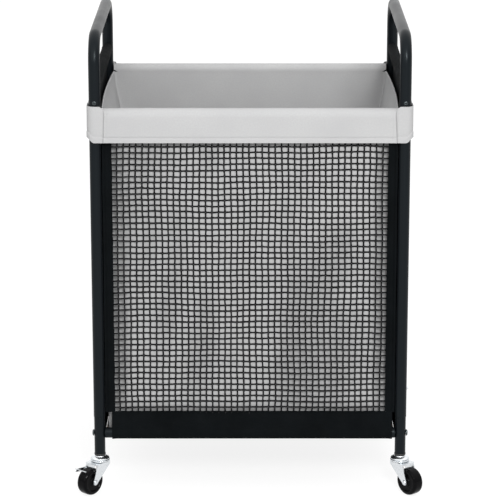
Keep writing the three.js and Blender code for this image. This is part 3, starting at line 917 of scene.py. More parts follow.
@dataclass
class TubeFrame:
    """The two hoops, the legs, the rods between them and the bars across the hoops."""

    layout: Layout
    finishes: FinishBook
    bend_radius: float = 42 * MM
    wall: float = 1.2 * MM
    lip: float = 0.5 * MM
    slip: float = 0.4 * MM
    play: float = 0.3 * MM
    straight_end: float = 40 * MM
    sides: int = 40
    bend_steps: int = 14

    def hoop_path(self, side: Side) -> np.ndarray:
        """The centreline of a hoop, from its front end to its rear end."""
        x, y = side.value * self.layout.leg_x, self.layout.leg_y
        bend_y, bend_z = y - self.bend_radius, self.layout.handle_z - self.bend_radius
        low = self.layout.hoop_low_z
        line = [(-y, low), (-y, low + self.wall), (-y, low + self.straight_end)]
        line += arc((-bend_y, bend_z), self.bend_radius, 180, 90, self.bend_steps)
        line += [(-0.5 * bend_y, self.layout.handle_z), (0.0, self.layout.handle_z)]
        line += [(0.5 * bend_y, self.layout.handle_z)]
        line += arc((bend_y, bend_z), self.bend_radius, 90, 0, self.bend_steps)
        line += [(y, low + self.straight_end), (y, low + self.wall), (y, low)]
        return np.array([(x, a, b) for a, b in line])

    def stepped_tube(self, radius: float, low: float, shoulder: float, top: float) -> list:
        """The profile of a leg that is narrowed at its top.

        Args:
            radius: The leg's outer radius.
            low: Its lower end.
            shoulder: Where it narrows.
            top: Its upper end.

        Returns:
            Pairs of radius and height, closed back to the start.
        """
        neck = self.layout.tube_radius - self.wall - self.slip
        bore, neck_bore = radius - self.wall, neck - self.wall
        outer = filleted(
            [(bore, low), (radius, low), (radius, shoulder), (neck, shoulder), (neck, top),
             (neck_bore, top)], self.lip,
        )
        return outer + [(neck_bore, shoulder - self.wall), (bore, shoulder - self.wall)]

    def plugged_rod(self, radius: float, half: float) -> list:
        """The profile of a closed rod with rounded ends, about its middle."""
        return filleted([(0.0, -half), (radius, -half), (radius, half), (0.0, half)], 2 * self.lip)

    def finish(self, shape: MeshBuilder, node: str) -> None:
        """Makes one tube and attaches it in place of its CAD node."""
        piece = shape.make(f"{node}_tube", self.finishes.black_paint)
        attach(piece, "frame", [node])

    def rod(self, node: str, radius: float, place: Point, axis: Axis) -> None:
        """Builds and attaches a closed rod as long as its CAD node.

        Args:
            node: The CAD node.
            radius: The rod's radius.
            place: Its middle.
            axis: The direction it runs in.
        """
        low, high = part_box(node)
        half = (high - low)[axis.value] / 2
        shape = MeshBuilder()
        shape.turned(self.plugged_rod(radius, half), place, axis, self.sides)
        self.finish(shape, node)

    def build(self) -> None:
        """Builds and attaches all the tubes."""
        place = self.layout
        for side in Side:
            hoop = MeshBuilder()
            bore = place.tube_radius - self.wall
            hoop.pipe(self.hoop_path(side), place.tube_radius, bore, self.sides, self.lip)
            self.finish(hoop, f"handle_hoop_{side.word}")
            for name, radius, z in (
                ("side_crossbar", place.crossbar_radius, place.crossbar_z),
                ("bottom_side_rod", place.bottom_rod_radius, place.bottom_rod_z),
            ):
                centre = (side.value * place.leg_x, 0.0, z)
                self.rod(f"{name}_{side.word}", radius, centre, Axis.Y)
            for end in End:
                self.leg(side, end)
        for end in End:
            for name, radius, z in (
                ("top_rod", place.top_rod_radius, place.top_rod_z),
                ("bottom_rod", place.bottom_rod_radius, place.bottom_rod_z),
            ):
                centre = (0.0, end.value * place.leg_y, z)
                self.rod(f"{name}_{end.word}", radius, centre, Axis.X)

    def leg(self, side: Side, end: End) -> None:
        """Builds and attaches the upper and lower leg of one corner."""
        place = self.layout
        base = (side.value * place.leg_x, end.value * place.leg_y, 0.0)
        hoop_end, joint = place.hoop_low_z - self.play, place.leg_joint_z - self.play
        for part, radius, low, shoulder, top in (
            ("upper", place.tube_radius, place.leg_joint_z, hoop_end, place.leg_top_z),
            ("lower", place.lower_leg_radius, place.foot_z, joint, place.lower_top_z),
        ):
            shape = MeshBuilder()
            shape.turned(self.stepped_tube(radius, low, shoulder, top), base, Axis.Z, self.sides)
            self.finish(shape, f"leg_{part}_{end.word}_{side.word}")


# ---- Liner ----


@dataclass
class Liner:
    """The grey liner: a sagging tub folded over the top rods, and straps round the legs."""

    layout: Layout
    finishes: FinishBook
    thickness: float = 1.2 * MM
    corner: float = 4.5 * MM
    lean: float = 13 * MM
    lean_depth: float = 95 * MM
    net_gap: float = 2.1 * MM
    side_bow: float = 5.5 * MM
    cuff_height: float = 55 * MM
    hem_height: float = 8.8 * MM
    seam_x: float = 234 * MM
    seam_lean: float = 2.2 * MM
    fold_widening: float = 7.3 * MM
    end_stretch: float = 2 * MM
    strap_rise: float = 4.5 * MM
    side_lift: float = 8 * MM
    tuck: float = 3 * MM
    foot_gap: float = 0.3 * MM
    inset: float = 0.8 * MM
    stand_off: float = 0.5 * MM
    soft_fold: float = 3.6 * MM
    soft_crease: float = 2.6 * MM
    front_slope: float = 45 * MM
    rear_slope: float = 230 * MM
    flat_share: float = 0.86
    edge_power: int = 8
    pucker_reach: float = 22 * MM
    stitch: float = 0.3 * MM
    front_steps: int = 74
    side_steps: int = 52

    def __post_init__(self) -> None:
        """Measures the CAD liner."""
        low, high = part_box("liner")
        self.top_z = high.z
        self.cuff_x, self.cuff_y = high.x - self.inset, high.y - self.inset
        board_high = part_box("base_board")[1]
        self.floor_z = board_high.z + self.foot_gap
        self.half_x, self.half_y = board_high.x - self.inset, board_high.y - self.inset
        self.fold_radius = self.cuff_y - self.layout.leg_y - self.stand_off
        self.fold_z = self.top_z - self.fold_radius - self.thickness / 2

    def rim(self) -> np.ndarray:
        """The tub's outline seen from above."""
        a, b, r = self.half_x, self.half_y, self.corner
        end, start = self.seam_x - 2 * MM, b - r
        fronts = np.linspace(-end, end, self.front_steps + 1)
        sides = np.linspace(-start, start, self.side_steps + 1)
        outline = [(x, -b) for x in fronts] + arc((a - r, -start), r, -90, 0, 4)
        outline += [(a, y) for y in sides[1:-1]] + arc((a - r, start), r, 0, 90, 4)
        outline += [(-x, b) for x in fronts] + arc((r - a, start), r, 90, 180, 4)
        outline += [(-a, -y) for y in sides[1:-1]] + arc((r - a, -start), r, 180, 270, 4)
        return np.array(outline)

    def wall_place(self, x: float, y: float, z: float) -> Point:
        """Where a point of the tub's wall hangs.

        The walls draw in below the rim, stand full against the bag front and rear, and rest
        in its corners at the bottom.

        Args:
            x: The flat wall's place along X.
            y: Along Y.
            z: The height.

        Returns:
            The sagging wall's place.
        """
        depth, rise = self.fold_z - z, z - self.floor_z
        drawn = smooth(depth / self.lean_depth) * (0.25 + 0.75 * smooth(rise / (120 * MM)))
        share = max(0.0, depth) * max(0.0, rise) / (0.25 * (self.fold_z - self.floor_z) ** 2)
        loose = min(1.0, 3.0 * share)
        folds = roughly(7 * x, 7 * y, 1.8 * z, 1.0) * self.soft_fold
        creases = abs(roughly(15 * x, 15 * y, 5 * z, 2.0)) * self.soft_crease
        stand = loose * (folds - creases)
        across = min(1.0, abs(y) / self.half_y) ** self.edge_power
        slope = self.front_slope if y < 0 else self.rear_slope
        full = smooth((depth - 12 * MM) / slope) * smooth((rise - 8 * MM) / (45 * MM))
        beyond = abs(x) / self.half_x - self.flat_share
        flat = 1 - smooth(beyond / (1 - self.flat_share))
        side_part = min(1.0, abs(x) / self.half_x) ** self.edge_power
        loose_edge = (1 - (y / self.half_y) ** 2) * (1 - smooth(depth / (90 * MM)))
        stand_x = (stand + self.side_bow * max(0.0, loose_edge)) * side_part
        x_out = x * (1 - self.lean * drawn / self.half_x) + math.copysign(stand_x, x)
        reach = self.layout.face_y(x_out, z, math.copysign(1.0, y)) - self.net_gap - self.half_y
        push = reach * full * flat + 1.5 * min(0.0, stand) * flat * full
        return x_out, y + math.copysign(push * across, y), z

    def tub(self) -> bpy.types.Object:
        """The tub's walls with the front and rear folds and cuffs, as one sheet."""
        line = self.rim()
        wall_top = self.fold_z
        heights = np.linspace(self.floor_z + 2 * MM, wall_top, 88)
        fold = arc((0.0, 0.0), self.fold_radius, 180, 0, 10)[1:]
        hang = np.r_[0, 8, 16, 24, 31, 36, 38.5, 41, 43, 44.2, 45, 46.5, 49, 52, 54.2] * MM
        end_z = self.top_z - self.cuff_height
        hang = hang[1:] * (self.fold_z - end_z) / (54.2 * MM)
        rows = []
        for z in heights:
            rows.append([self.wall_place(p[0], p[1], z) for p in line])
        folded = np.abs(line[:, 0]) <= self.seam_x - 1.9 * MM
        ends = np.sign(line[:, 1])
        for reach, rise in fold:
            spare = self.fold_widening - self.end_stretch
            wide = self.end_stretch + spare * (1 - smooth(reach / self.fold_radius))
            rows.append([
                self.fold_place(p[0], e, reach, self.fold_z + rise, wide)
                for p, e in zip(line, ends)
            ])
        for drop in hang:
            z = self.fold_z - drop
            rows.append([self.cuff_place(p[0], z, e) for p, e in zip(line, ends)])
        grid = np.array(rows)
        keep = np.ones((len(grid) - 1, len(line)), bool)
        walls = len(heights)
        both = folded & np.roll(folded, -1) & (np.abs(line[:, 1]) > self.half_y - 1 * MM)
        keep[walls - 1:, :] = both[None, :]
        shape = MeshBuilder()
        shape.shell(grid, self.thickness, keep, wrapped=True)
        return shape.make("liner_tub", self.finishes.grey_fabric, SOFT_EDGE)

    def fold_place(self, x: float, end: float, reach: float, z: float, wide: float) -> Point:
        """Where a point of the fold over a top rod lies.

        Args:
            x: The flat liner's place along X.
            end: -1 at the front and 1 at the rear.
            reach: How far outside the leg's axis it lies.
            z: Its height.
            wide: How far the fold's ends are drawn out along X.

        Returns:
            The place.
        """
        y = self.layout.leg_y + reach + self.ripple(x, self.fold_z)
        return x + wide * self.end_share(x), end * y, z

    def cuff_place(self, x: float, z: float, end: float) -> Point:
        """Where a point of the cuff outside the frame hangs."""
        y = self.cuff_y - self.stand_off + self.cuff_relief(x, z, end)
        return self.stretched_x(x, z), end * y, z

    def end_share(self, x: float) -> float:
        """How far a cuff point lies towards its seam, 0 inside and 1 at the end, with its sign."""
        end = self.seam_x - 2 * MM
        return math.copysign(max(0.0, (abs(x) - 0.85 * end) / (0.15 * end)), x)

    def stretched_x(self, x: float, z: float) -> float:
        """Where a cuff point lies along X, so that the cuff's ends follow the leaning seams."""
        drop = clamped((self.top_z - z) / self.cuff_height)
        return x + self.end_share(x) * (self.end_stretch + self.seam_lean * drop)

    def ripple(self, x: float, z: float) -> float:
        """The cuff's own unevenness."""
        return 0.5 * MM * roughly(9 * x, 3.0, 9 * z, 3.0)

    def cuff_relief(self, x: float, z: float, end: float) -> float:
        """How far the cuff's face stands out, with its doubled hem and its puckers by the seams.

        Args:
            x: Where on the cuff.
            z: Its height.
            end: -1 at the front and 1 at the rear.

        Returns:
            The distance.
        """
        bottom = self.top_z - self.cuff_height
        over = z - bottom
        made = self.ripple(x, z + 0.3 * end) + 0.35 * MM * roughly(30 * x, 7.0, 22 * z, 4.0)
        made += 0.55 * MM if over < self.hem_height - 1.5 * MM else 0.0
        ridge = (over - self.hem_height - 1.8 * MM) / (1.4 * MM)
        made += 0.45 * MM * math.exp(-ridge * ridge)
        groove = (over - self.hem_height) / (1.1 * MM)
        made -= 0.8 * MM * math.exp(-groove * groove)
        inside = self.seam_x - abs(x)
        if inside < self.pucker_reach:
            pull = (1 - inside / self.pucker_reach) * (0.4 + 0.6 * over / self.cuff_height)
            made += 0.9 * MM * pull * roughly(14 * x, 2.0, 75 * z, 5.0)
        made += 0.8 * MM * math.exp(-((inside - 3.2 * MM) / (2.0 * MM)) ** 2)
        return made

    def floor(self) -> bpy.types.Object:
        """The liner's own floor, sewn to the walls all round."""
        a, b = self.half_x - 4 * MM, self.half_y - 1 * MM
        xs, ys = np.linspace(-a, a, 60), np.linspace(-b, b, 46)
        level = self.floor_z + 1.3 * MM
        grid = [
            [(x, y, level + 0.6 * MM * roughly(18 * x, 18 * y, 0.0, 6.0)) for x in xs] for y in ys
        ]
        shape = sheet_mesh(grid, self.thickness)
        return shape.make("liner_floor", self.finishes.grey_fabric, SOFT_EDGE)

    def strap_path(self, side: Side) -> np.ndarray:
        """The line of a strap seen from above, from its front seam round to its rear seam."""
        x, y = self.layout.leg_x, self.layout.leg_y
        r = self.cuff_x - x
        line = [(self.seam_x - 4 * MM, -y - r)] + arc((x, -y), r, -90, 0, 12)
        line += arc((x, y), r, 0, 90, 12) + [(self.seam_x - 4 * MM, y + r)]
        points = resampled(line, 2.4 * MM)
        points[:, 0] *= side.value
        return points

    def strap(self, side: Side) -> bpy.types.Object:
        """The strap that joins the front and rear cuffs outside the legs of one side."""
        line = self.strap_path(side)
        bottom, top = self.top_z - self.cuff_height, self.top_z
        rows = []
        levels = np.r_[0.0, 1.5, 4, 6.5, 7.8, 8.8, 9.8, 11, 13, np.linspace(17, 52, 11), 54, 55]
        along = np.gradient(line, axis=0)
        out = np.stack([along[:, 1], -along[:, 0]], 1) * side.value
        out /= np.linalg.norm(out, axis=1, keepdims=True)
        for level in levels / levels[-1]:
            row = []
            for p, o in zip(line, out):
                by_seam = abs(p[1]) > self.layout.leg_y
                past = (abs(p[0]) - self.seam_x) / (8 * MM) if by_seam else 9.0
                rise = self.strap_rise * clamped(past)
                rise *= 1.0 if p[1] < -0.9 * self.layout.leg_y else 0.35
                leg_side = self.layout.leg_x + 1 * MM
                beside = (abs(p[0]) - leg_side) / (self.cuff_x - leg_side)
                lift = self.side_lift * smooth(beside)
                z = bottom + lift + level * (top + rise - bottom - lift)
                over = z - bottom - lift
                stand = 0.4 * MM * roughly(13 * p[0], 13 * p[1], 11 * z, 8.0)
                stand += 0.5 * MM if over < self.hem_height else 0.0
                groove = (over - self.hem_height - 2 * MM) / (1.2 * MM)
                stand -= 0.5 * MM * math.exp(-groove**2)
                free = max(0.0, 1 - abs(p[1]) / 0.17)
                stand += free * 2.2 * MM * roughly(2.0, 6 * p[1], 7 * z, 9.0)
                tucked = 1 - smooth((past + 0.1) / 0.5)
                bend = self.fold_radius * tucked
                over_fold = clamped((z - self.fold_z) / (top - self.fold_z))
                stand -= tucked * self.tuck + bend * (1 - math.sqrt(1 - over_fold**2))
                z -= tucked * self.tuck * over_fold
                drop = clamped((top - z) / self.cuff_height)
                lean = self.seam_lean * drop * max(0.0, 1 - max(0.0, past))
                x = p[0] + math.copysign(lean, p[0])
                row.append((x + o[0] * stand, p[1] + o[1] * stand, z))
            rows.append(row)
        shape = sheet_mesh(rows, self.thickness)
        return shape.make(f"liner_strap_{side.word}", self.finishes.grey_fabric, SOFT_EDGE)

    def stitches(self) -> bpy.types.Object:
        """The stitch rows along the cuffs' hems and beside their corner seams."""
        shape = MeshBuilder()
        bottom = self.top_z - self.cuff_height
        for end in End:
            z = bottom + self.hem_height
            for x in np.arange(-self.seam_x + 4 * MM, self.seam_x - 4 * MM, 3.2 * MM):
                line = [x, x + 0.7 * MM, x + 1.5 * MM, x + 2.2 * MM]
                lift = [-0.3, 0.25, 0.25, -0.3]
                face = self.cuff_y + self.thickness / 2 - self.stand_off
                path = np.array([
                    (a, end.value * (face + self.cuff_relief(a, z, end.value) + h * MM), z)
                    for a, h in zip(line, lift)])
                shape.rod(path, self.stitch, 5)
            for side in Side:
                for z_low in np.arange(bottom + 12 * MM, self.top_z - 9 * MM, 3.4 * MM):
                    path = []
                    for step, lift in ((0.0, -0.3), (0.8, 0.25), (1.6, 0.25), (2.4, -0.3)):
                        level = z_low + step * MM
                        x = side.value * (self.seam_x - 6.2 * MM)
                        y = face + self.cuff_relief(x, level, end.value) + lift * MM
                        path.append((self.stretched_x(x, level), end.value * y, level))
                    shape.rod(np.array(path), self.stitch, 5)
        return shape.make("liner_stitches", self.finishes.grey_fabric, SOFT_EDGE)

    def side_hem(self, side: Side) -> bpy.types.Object:
        """The rolled hem along a free top edge of the tub."""
        y = np.linspace(-self.half_y + self.corner * 0.4, self.half_y - self.corner * 0.4, 90)
        path = np.array([
            (side.value * (self.half_x + self.side_bow * (1 - (v / self.half_y) ** 2)), v,
             self.fold_z + 0.7 * MM * roughly(2.0, 9 * v, 1.0, 4.0))
            for v in y])
        shape = MeshBuilder()
        shape.rod(path, 1.5 * MM, 10, across=(1.0, 0.0, 0.0))
        return shape.make(f"liner_side_hem_{side.word}", self.finishes.grey_fabric, SOFT_EDGE)

    def build(self) -> None:
        tub = attach(self.tub(), "frame", ["liner"])
        floor = attach(self.floor(), "frame")
        stitches = attach(self.stitches(), "frame")
        hems = [attach(self.side_hem(side), "frame") for side in Side]
        for side in Side:
            strap = attach(self.strap(side), "frame")
            line = self.strap_path(side)


# ---- Fasteners ----


@dataclass
class Fasteners:
    """Screws in the hoops and the top rods, and bolts in the bottom rods."""

    finishes: FinishBook
    segments: int = 48
    recess_share: float = 0.62
    slot_share: float = 0.13
    rim_share: float = 0.35
    shank_share: float = 0.42

    def head(self, radius: float, height: float, recess: float) -> np.ndarray:
        """A domed head with a cross recess, its axis along +Z and its seat at zero.

        Args:
            radius: The head's radius.
            height: Its height.
            recess: The cross recess' depth.

        Returns:
            Points, by ring from the seat to the middle, and by place round the ring.
        """
        turn = np.linspace(0, 2 * math.pi, self.segments, endpoint=False)
        rings = [
            np.stack([radius * np.cos(turn), radius * np.sin(turn), np.full(self.segments, z)], 1)
            for z in (0.0, self.rim_share * height)
        ]
        steps = (0.98, 0.93, 0.85, 0.76, 0.68, 0.6, 0.52, 0.44, 0.36, 0.28, 0.2, 0.13, 0.06, 0.01)
        for share in steps:
            x, y = share * np.cos(turn), share * np.sin(turn)
            dome = self.rim_share + (1 - self.rim_share) * math.sqrt(max(0.0, 1 - share ** 2.6))
            inside = np.clip((self.recess_share - share) / 0.08, 0, 1)
            bar = np.clip((self.slot_share - np.minimum(abs(x), abs(y))) / 0.05, 0, 1)
            z = height * dome - recess * inside * bar
            rings.append(np.stack([radius * x, radius * y, z], 1))
        return np.array(rings)

    def screw(self, node: str, axis: Axis, towards: int, head: tuple[float, float]) -> None:
        """Builds one screw or bolt in place of its CAD node.

        Args:
            node: The CAD node.
            axis: The direction of its axis.
            towards: 1 or -1, the sense its head faces along the axis.
            head: The head's radius and height.
        """
        low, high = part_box(node)
        along = axis.value
        tip, top = (low, high) if towards > 0 else (high, low)
        radius, height = head
        seat = top[along] - towards * height
        rings = self.head(radius, height, 0.45 * height)
        place = np.array(middle(node))
        place[along] = seat
        order = {Axis.X: (2, 0, 1), Axis.Y: (1, 2, 0), Axis.Z: (0, 1, 2)}[axis]
        spun = rings[:, :, order] * np.where(np.arange(3) == along, towards, 1.0)
        shape = MeshBuilder()
        shape.loops(spun + place)
        shank = abs(seat - tip[along])
        thick = self.shank_share * radius
        profile = filleted([(0.0, -shank), (thick, -shank), (thick, 0.0), (0.0, 0.0)], 0.4 * MM)
        shape.turned(profile, tuple(place), axis, 20, towards)
        steel = node.startswith("top_rod")
        finish = self.finishes.screw_steel if steel else self.finishes.black_screw
        attach(shape.make(f"{node}_head", finish), "frame", [node])

    def build(self) -> None:
        """Builds all the screws and bolts."""
        for end in End:
            for side in Side:
                corner = f"{end.word}_{side.word}"
                self.screw(f"hoop_screw_{corner}", Axis.Y, end.value, (3.4 * MM, 1.6 * MM))
                self.screw(f"top_rod_screw_{corner}", Axis.X, side.value, (4 * MM, 1.2 * MM))
                self.screw(f"rod_bolt_{corner}", Axis.X, side.value, (5.3 * MM, 3 * MM))


# ---- Mesh bag ----


@dataclass
class MeshBag:
    """The black bag: netting with cloth borders front and rear, side panels, floor and board."""

    layout: Layout
    finishes: FinishBook
    cloth: float = 1.0 * MM
    sleeve_cloth: float = 0.9 * MM
    net_half: float = 225.5 * MM
    net_low: float = 136 * MM
    net_high: float = 628 * MM
    columns: int = 44
    rows: int = 50
    strand: float = 1.37 * MM
    knot: float = 0.3 * MM
    steps: int = 3
    strip_inner: float = 223.5 * MM
    strip_outer: float = 239.4 * MM
    band_top: float = 139.5 * MM
    band_left: float = 229.0 * MM
    band_right: float = 236.0 * MM
    top_reach: float = 232.5 * MM
    stitch: float = 0.32 * MM
    # Cloth as a share of its rectangle, chosen near half of the modelled surface.
    net_area_share: float = 0.7
    border_area_share: float = 0.32

    def drift(self, x: float, z: float, seed: float) -> tuple[float, float]:
        """How far the netting is pulled out of square at a point.

        Args:
            x: Where along X.
            z: How high.
            seed: Which panel.

        Returns:
            The shift along X and up.
        """
        edge = min(1.0, (self.net_half - abs(x)) / (12 * MM))
        level = clamped((z - self.net_low) / (12 * MM))
        broad_x = 2.6 * MM * roughly(11 * x, seed, 9 * z, 1.0 + seed)
        broad_z = 2.4 * MM * roughly(9 * x, seed, 11 * z, 2.0 + seed)
        fine_x = 0.85 * MM * roughly(75 * x, seed, 60 * z, 3.0 + seed)
        fine_z = 0.85 * MM * roughly(60 * x, seed, 75 * z, 4.0 + seed)
        return (broad_x + fine_x) * edge, (broad_z + fine_z) * level

    def netting(self, end: End) -> bpy.types.Object:
        """The open netting of one panel, strand by strand."""
        seed = 0.5 * end.value
        xs = np.linspace(-self.net_half, self.net_half, self.columns + 1)
        zs = np.linspace(self.net_low, self.net_high, self.rows + 1)
        shape = MeshBuilder()
        for upright, fixed, running in ((True, xs, zs), (False, zs, xs)):
            cells = len(running) - 1
            spots = np.linspace(running[0], running[-1], cells * self.steps + 1)
            at_knot = np.arange(len(spots)) % self.steps == 0
            size = self.strand + np.where(at_knot, self.knot, 0.0)
            for n, place in enumerate(fixed):
                width = 1.0 + 0.12 * roughly(3.1 * n, 2.0 if upright else 5.0, 0.0, seed)
                path = []
                for spot in spots:
                    x, z = (place, spot) if upright else (spot, place)
                    dx, dz = self.drift(x, z, seed)
                    lift = (0.25 if upright else -0.25) * MM
                    face = self.layout.face_y(x, z, end.value) + lift
                    path.append((x + dx, end.value * face, z + dz))
                shape.rod(np.array(path), size * width, 6, 0.72, marks=at_knot.astype(float))
        return shape.make(f"bag_netting_{end.word}", self.finishes.black_mesh, 80)

    def strip(self, shape: MeshBuilder, side: Side, end: End) -> None:
        """Adds the cloth strip between the netting and the legs of one side."""
        plane = end.value * (self.layout.leg_y + 1.9 * MM)
        across = np.r_[0.0, 0.12, 0.3, 0.55, 0.78, 0.9, 1.0]
        ridge = np.r_[0.5, 0.9, 0.0, 0.0, 0.1, 0.8, 0.6] * MM
        rows = []
        for z in np.linspace(self.band_top - 2 * MM, self.net_high + 2 * MM, 72):
            sway = 0.6 * MM * roughly(side.value, end.value, 16 * z, 6.0)
            x0 = self.strip_inner + 0.7 * MM * roughly(3.0, end.value, 45 * z, 7.0)
            x1 = self.strip_outer + sway
            rows.append([
                (
                    side.value * (x0 + t * (x1 - x0)),
                    plane + end.value * (r + 0.3 * MM * roughly(40 * t, 1.0, 20 * z, 8.0)), z,
                )
                for t, r in zip(across, ridge)
            ])
        shape.shell(np.array(rows), self.cloth)

    def sleeve(
        self, shape: MeshBuilder, end: End, centre_z: float, radius: float, hem_z: float,
        reach: tuple[float, float], seed: float,
    ) -> None:
        """Adds a sleeve round a rod along X, with the doubled band that closes it.

        Args:
            shape: Where it is added.
            end: Which panel it belongs to.
            centre_z: The rod's height.
            radius: The sleeve's middle radius.
            hem_z: The level where the sleeve is sewn to the panel.
            reach: How far it goes to the left and to the right.
            seed: Which sleeve, for its unevenness.
        """
        up = 1 if hem_z > centre_z else -1
        y0 = self.layout.leg_y
        line = [(y0 + 2.0 * MM, hem_z), (y0 + 2.3 * MM, hem_z - up * 3 * MM)]
        line += [(y0 + 0.45 * radius + 1.6 * MM, centre_z + up * 0.55 * abs(hem_z - centre_z))]
        line += [
            (a, centre_z + up * (b - centre_z))
            for a, b in arc((y0, centre_z), radius, 30, -210, 18)
        ]
        line += [(y0 - 0.8 * MM, hem_z - up * 12 * MM)]
        line = resampled(line, 3.2 * MM)
        left, right = reach
        rows = []
        for a, z in line:
            row = []
            level = min(1.0, abs(z - centre_z) / (20 * MM))
            for t in np.linspace(0.0, 1.0, 64):
                x = -left + t * (left + right)
                uneven = roughly(16 * x, 2.0 * a, 30 * z, seed)
                wave = 0.7 * MM * level * roughly(9 * x, seed, 8 * z, 9.0)
                ends = max(0.0, 1 - min(x + left, right - x) / (6 * MM))
                crumple = 0.5 * MM * level * uneven
                drawn = up * 1.4 * MM * ends * level
                row.append((x, end.value * (a + crumple + wave), z + crumple - drawn))
            rows.append(row)
        shape.shell(np.array(rows), self.sleeve_cloth)

    def border(self, end: End) -> bpy.types.Object:
        """The cloth round the netting of one panel: side strips, bottom band and top sleeve."""
        shape = MeshBuilder()
        for side in Side:
            self.strip(shape, side, end)
        place = self.layout
        bottom = place.bottom_rod_radius + 1.0 * MM
        top = place.top_rod_radius + 0.9 * MM
        band = (self.band_left, self.band_right)
        upper = (self.top_reach, self.top_reach)
        top_hem = self.net_high - 12 * MM
        self.sleeve(shape, end, place.bottom_rod_z, bottom, self.band_top, band, 1.0)
        self.sleeve(shape, end, place.top_rod_z, top, top_hem, upper, 2.0)
        return shape.make(f"bag_border_{end.word}", self.finishes.black_fabric, SOFT_EDGE)

    def stitches(self, end: End) -> bpy.types.Object:
        """The stitch rows that hold the netting to its strips and its band."""
        shape = MeshBuilder()
        face = self.layout.leg_y + 3.1 * MM
        for x in np.arange(-self.strip_inner, self.strip_inner, 3.6 * MM):
            steps = ((0.0, -0.5), (0.6, 0.2), (1.8, 0.2), (2.4, -0.5))
            z = self.band_top - 3 * MM
            path = [(x + a * MM, end.value * (face + h * MM), z) for a, h in steps]
            shape.rod(np.array(path), self.stitch, 5)
        for side in Side:
            for offset in (1.8 * MM, 11.5 * MM):
                x = side.value * (self.strip_inner + offset)
                for z in np.arange(self.band_top, self.net_high - 8 * MM, 3.6 * MM):
                    steps = ((0.0, -0.5), (0.6, 0.4), (1.8, 0.4), (2.4, -0.5))
                    path = [(x, end.value * (face + h * MM), z + b * MM) for b, h in steps]
                    shape.rod(np.array(path), self.stitch, 5)
        return shape.make(f"bag_stitches_{end.word}", self.finishes.black_fabric, SOFT_EDGE)

    def side_panel(self, side: Side) -> bpy.types.Object:
        """A side panel, wrapped over the crossbar and under the bottom rod."""
        place = self.layout
        top = place.crossbar_radius + 0.85 * MM
        low = place.bottom_rod_radius + 0.85 * MM
        line = [(-1.4 * MM, place.crossbar_z - 22 * MM), (-1.9 * MM, place.crossbar_z - 16 * MM)]
        line += arc((0.0, place.crossbar_z), top, 205, -25, 20)
        line += [(1.2 * MM, place.crossbar_z - 20 * MM), (0.9 * MM, place.crossbar_z - 30 * MM)]
        line += [(0.9 * MM, place.bottom_rod_z + 30 * MM), (1.4 * MM, place.bottom_rod_z + 20 * MM)]
        line += arc((0.0, place.bottom_rod_z), low, 25, -205, 20)
        line += [(-1.4 * MM, place.bottom_rod_z + 20 * MM)]
        line = resampled(line, 7 * MM)
        half = place.leg_y - place.tube_radius - 3.4 * MM
        near = np.array([0.0, 1.0, 2.5, 6.0]) * MM
        inner = half - 12 * MM
        ys = np.r_[near - half, np.linspace(-inner, inner, 46), half - near[::-1]]
        rows = []
        for a, z in line:
            row = []
            clear = min(abs(z - place.crossbar_z), abs(z - place.bottom_rod_z))
            free = clamped((clear - 20 * MM) / (60 * MM))
            for y in ys:
                bulge = 2.4 * MM * roughly(7 * y, side.value, 3.2 * z, 3.0)
                crease = 0.8 * MM * abs(roughly(20 * y, side.value, 7 * z, 4.0))
                sag = free * (bulge - crease)
                hem = 0.5 * MM if half - abs(y) < 8 * MM else 0.0
                uneven = 0.25 * MM * roughly(35 * y, side.value, 35 * z, 5.0)
                stand = sag + math.copysign(hem, a) + uneven
                row.append((side.value * (place.leg_x + a + stand), y, z))
            rows.append(row)
        shape = sheet_mesh(rows, self.sleeve_cloth)
        return shape.make(f"bag_side_{side.word}_cloth", self.finishes.black_fabric, SOFT_EDGE)

    def floor(self) -> bpy.types.Object:
        """The bag's floor, a little slack under the board."""
        low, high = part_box("bag_floor")
        xs, ys = np.linspace(low.x, high.x, 64), np.linspace(low.y, high.y, 50)
        middle_z = (low.z + high.z) / 2 - 0.25 * MM
        grid = [
            [(x, y, middle_z - 0.4 * MM * abs(roughly(14 * x, 14 * y, 0.0, 3.0))) for x in xs]
            for y in ys
        ]
        shape = sheet_mesh(grid, self.cloth)
        return shape.make("bag_floor_cloth", self.finishes.black_fabric, SOFT_EDGE)

    def board(self) -> bpy.types.Object:
        """The stiff board on the floor, with rounded corners and softened edges."""
        low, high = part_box("base_board")
        radius, soft = 14 * MM, 0.6 * MM
        rings = []
        for inset, z in (
            (soft, low.z), (0.3 * soft, low.z + 0.3 * soft), (0.0, low.z + soft),
            (0.0, high.z - soft), (0.3 * soft, high.z - 0.3 * soft), (soft, high.z),
        ):
            ring: list = []
            for sx, sy, start in ((1, 1, 0), (-1, 1, 90), (-1, -1, 180), (1, -1, 270)):
                centre = (sx * (high.x - radius), sy * (high.y - radius))
                ring += arc(centre, radius - inset, start, start + 90, 8)
            rings.append([(x, y, z) for x, y in ring])
        shape = MeshBuilder()
        shape.loops(np.array(rings))
        return shape.make("base_board_panel", self.finishes.fibre_board)

    def build(self) -> None:
        for end in End:
            netting = attach(self.netting(end), "frame", [f"bag_mesh_{end.word}"])
            border = attach(self.border(end), "frame")
            stitches = attach(self.stitches(end), "frame")
        for side in Side:
            node = f"bag_side_{side.word}"
            panel = attach(self.side_panel(side), "frame", [node])
        floor = attach(self.floor(), "frame", ["bag_floor"])
        attach(self.board(), "frame", ["base_board"])


# ---- Casters ----


def both_sides(half: Sequence[Sequence[float]]) -> list:
    """A turned part's profile from one half of it, pairs of radius and distance in mm."""
    near = [(r * MM, -w * MM) for r, w in half]
    return near + [(r * MM, w * MM) for r, w in reversed(half)]


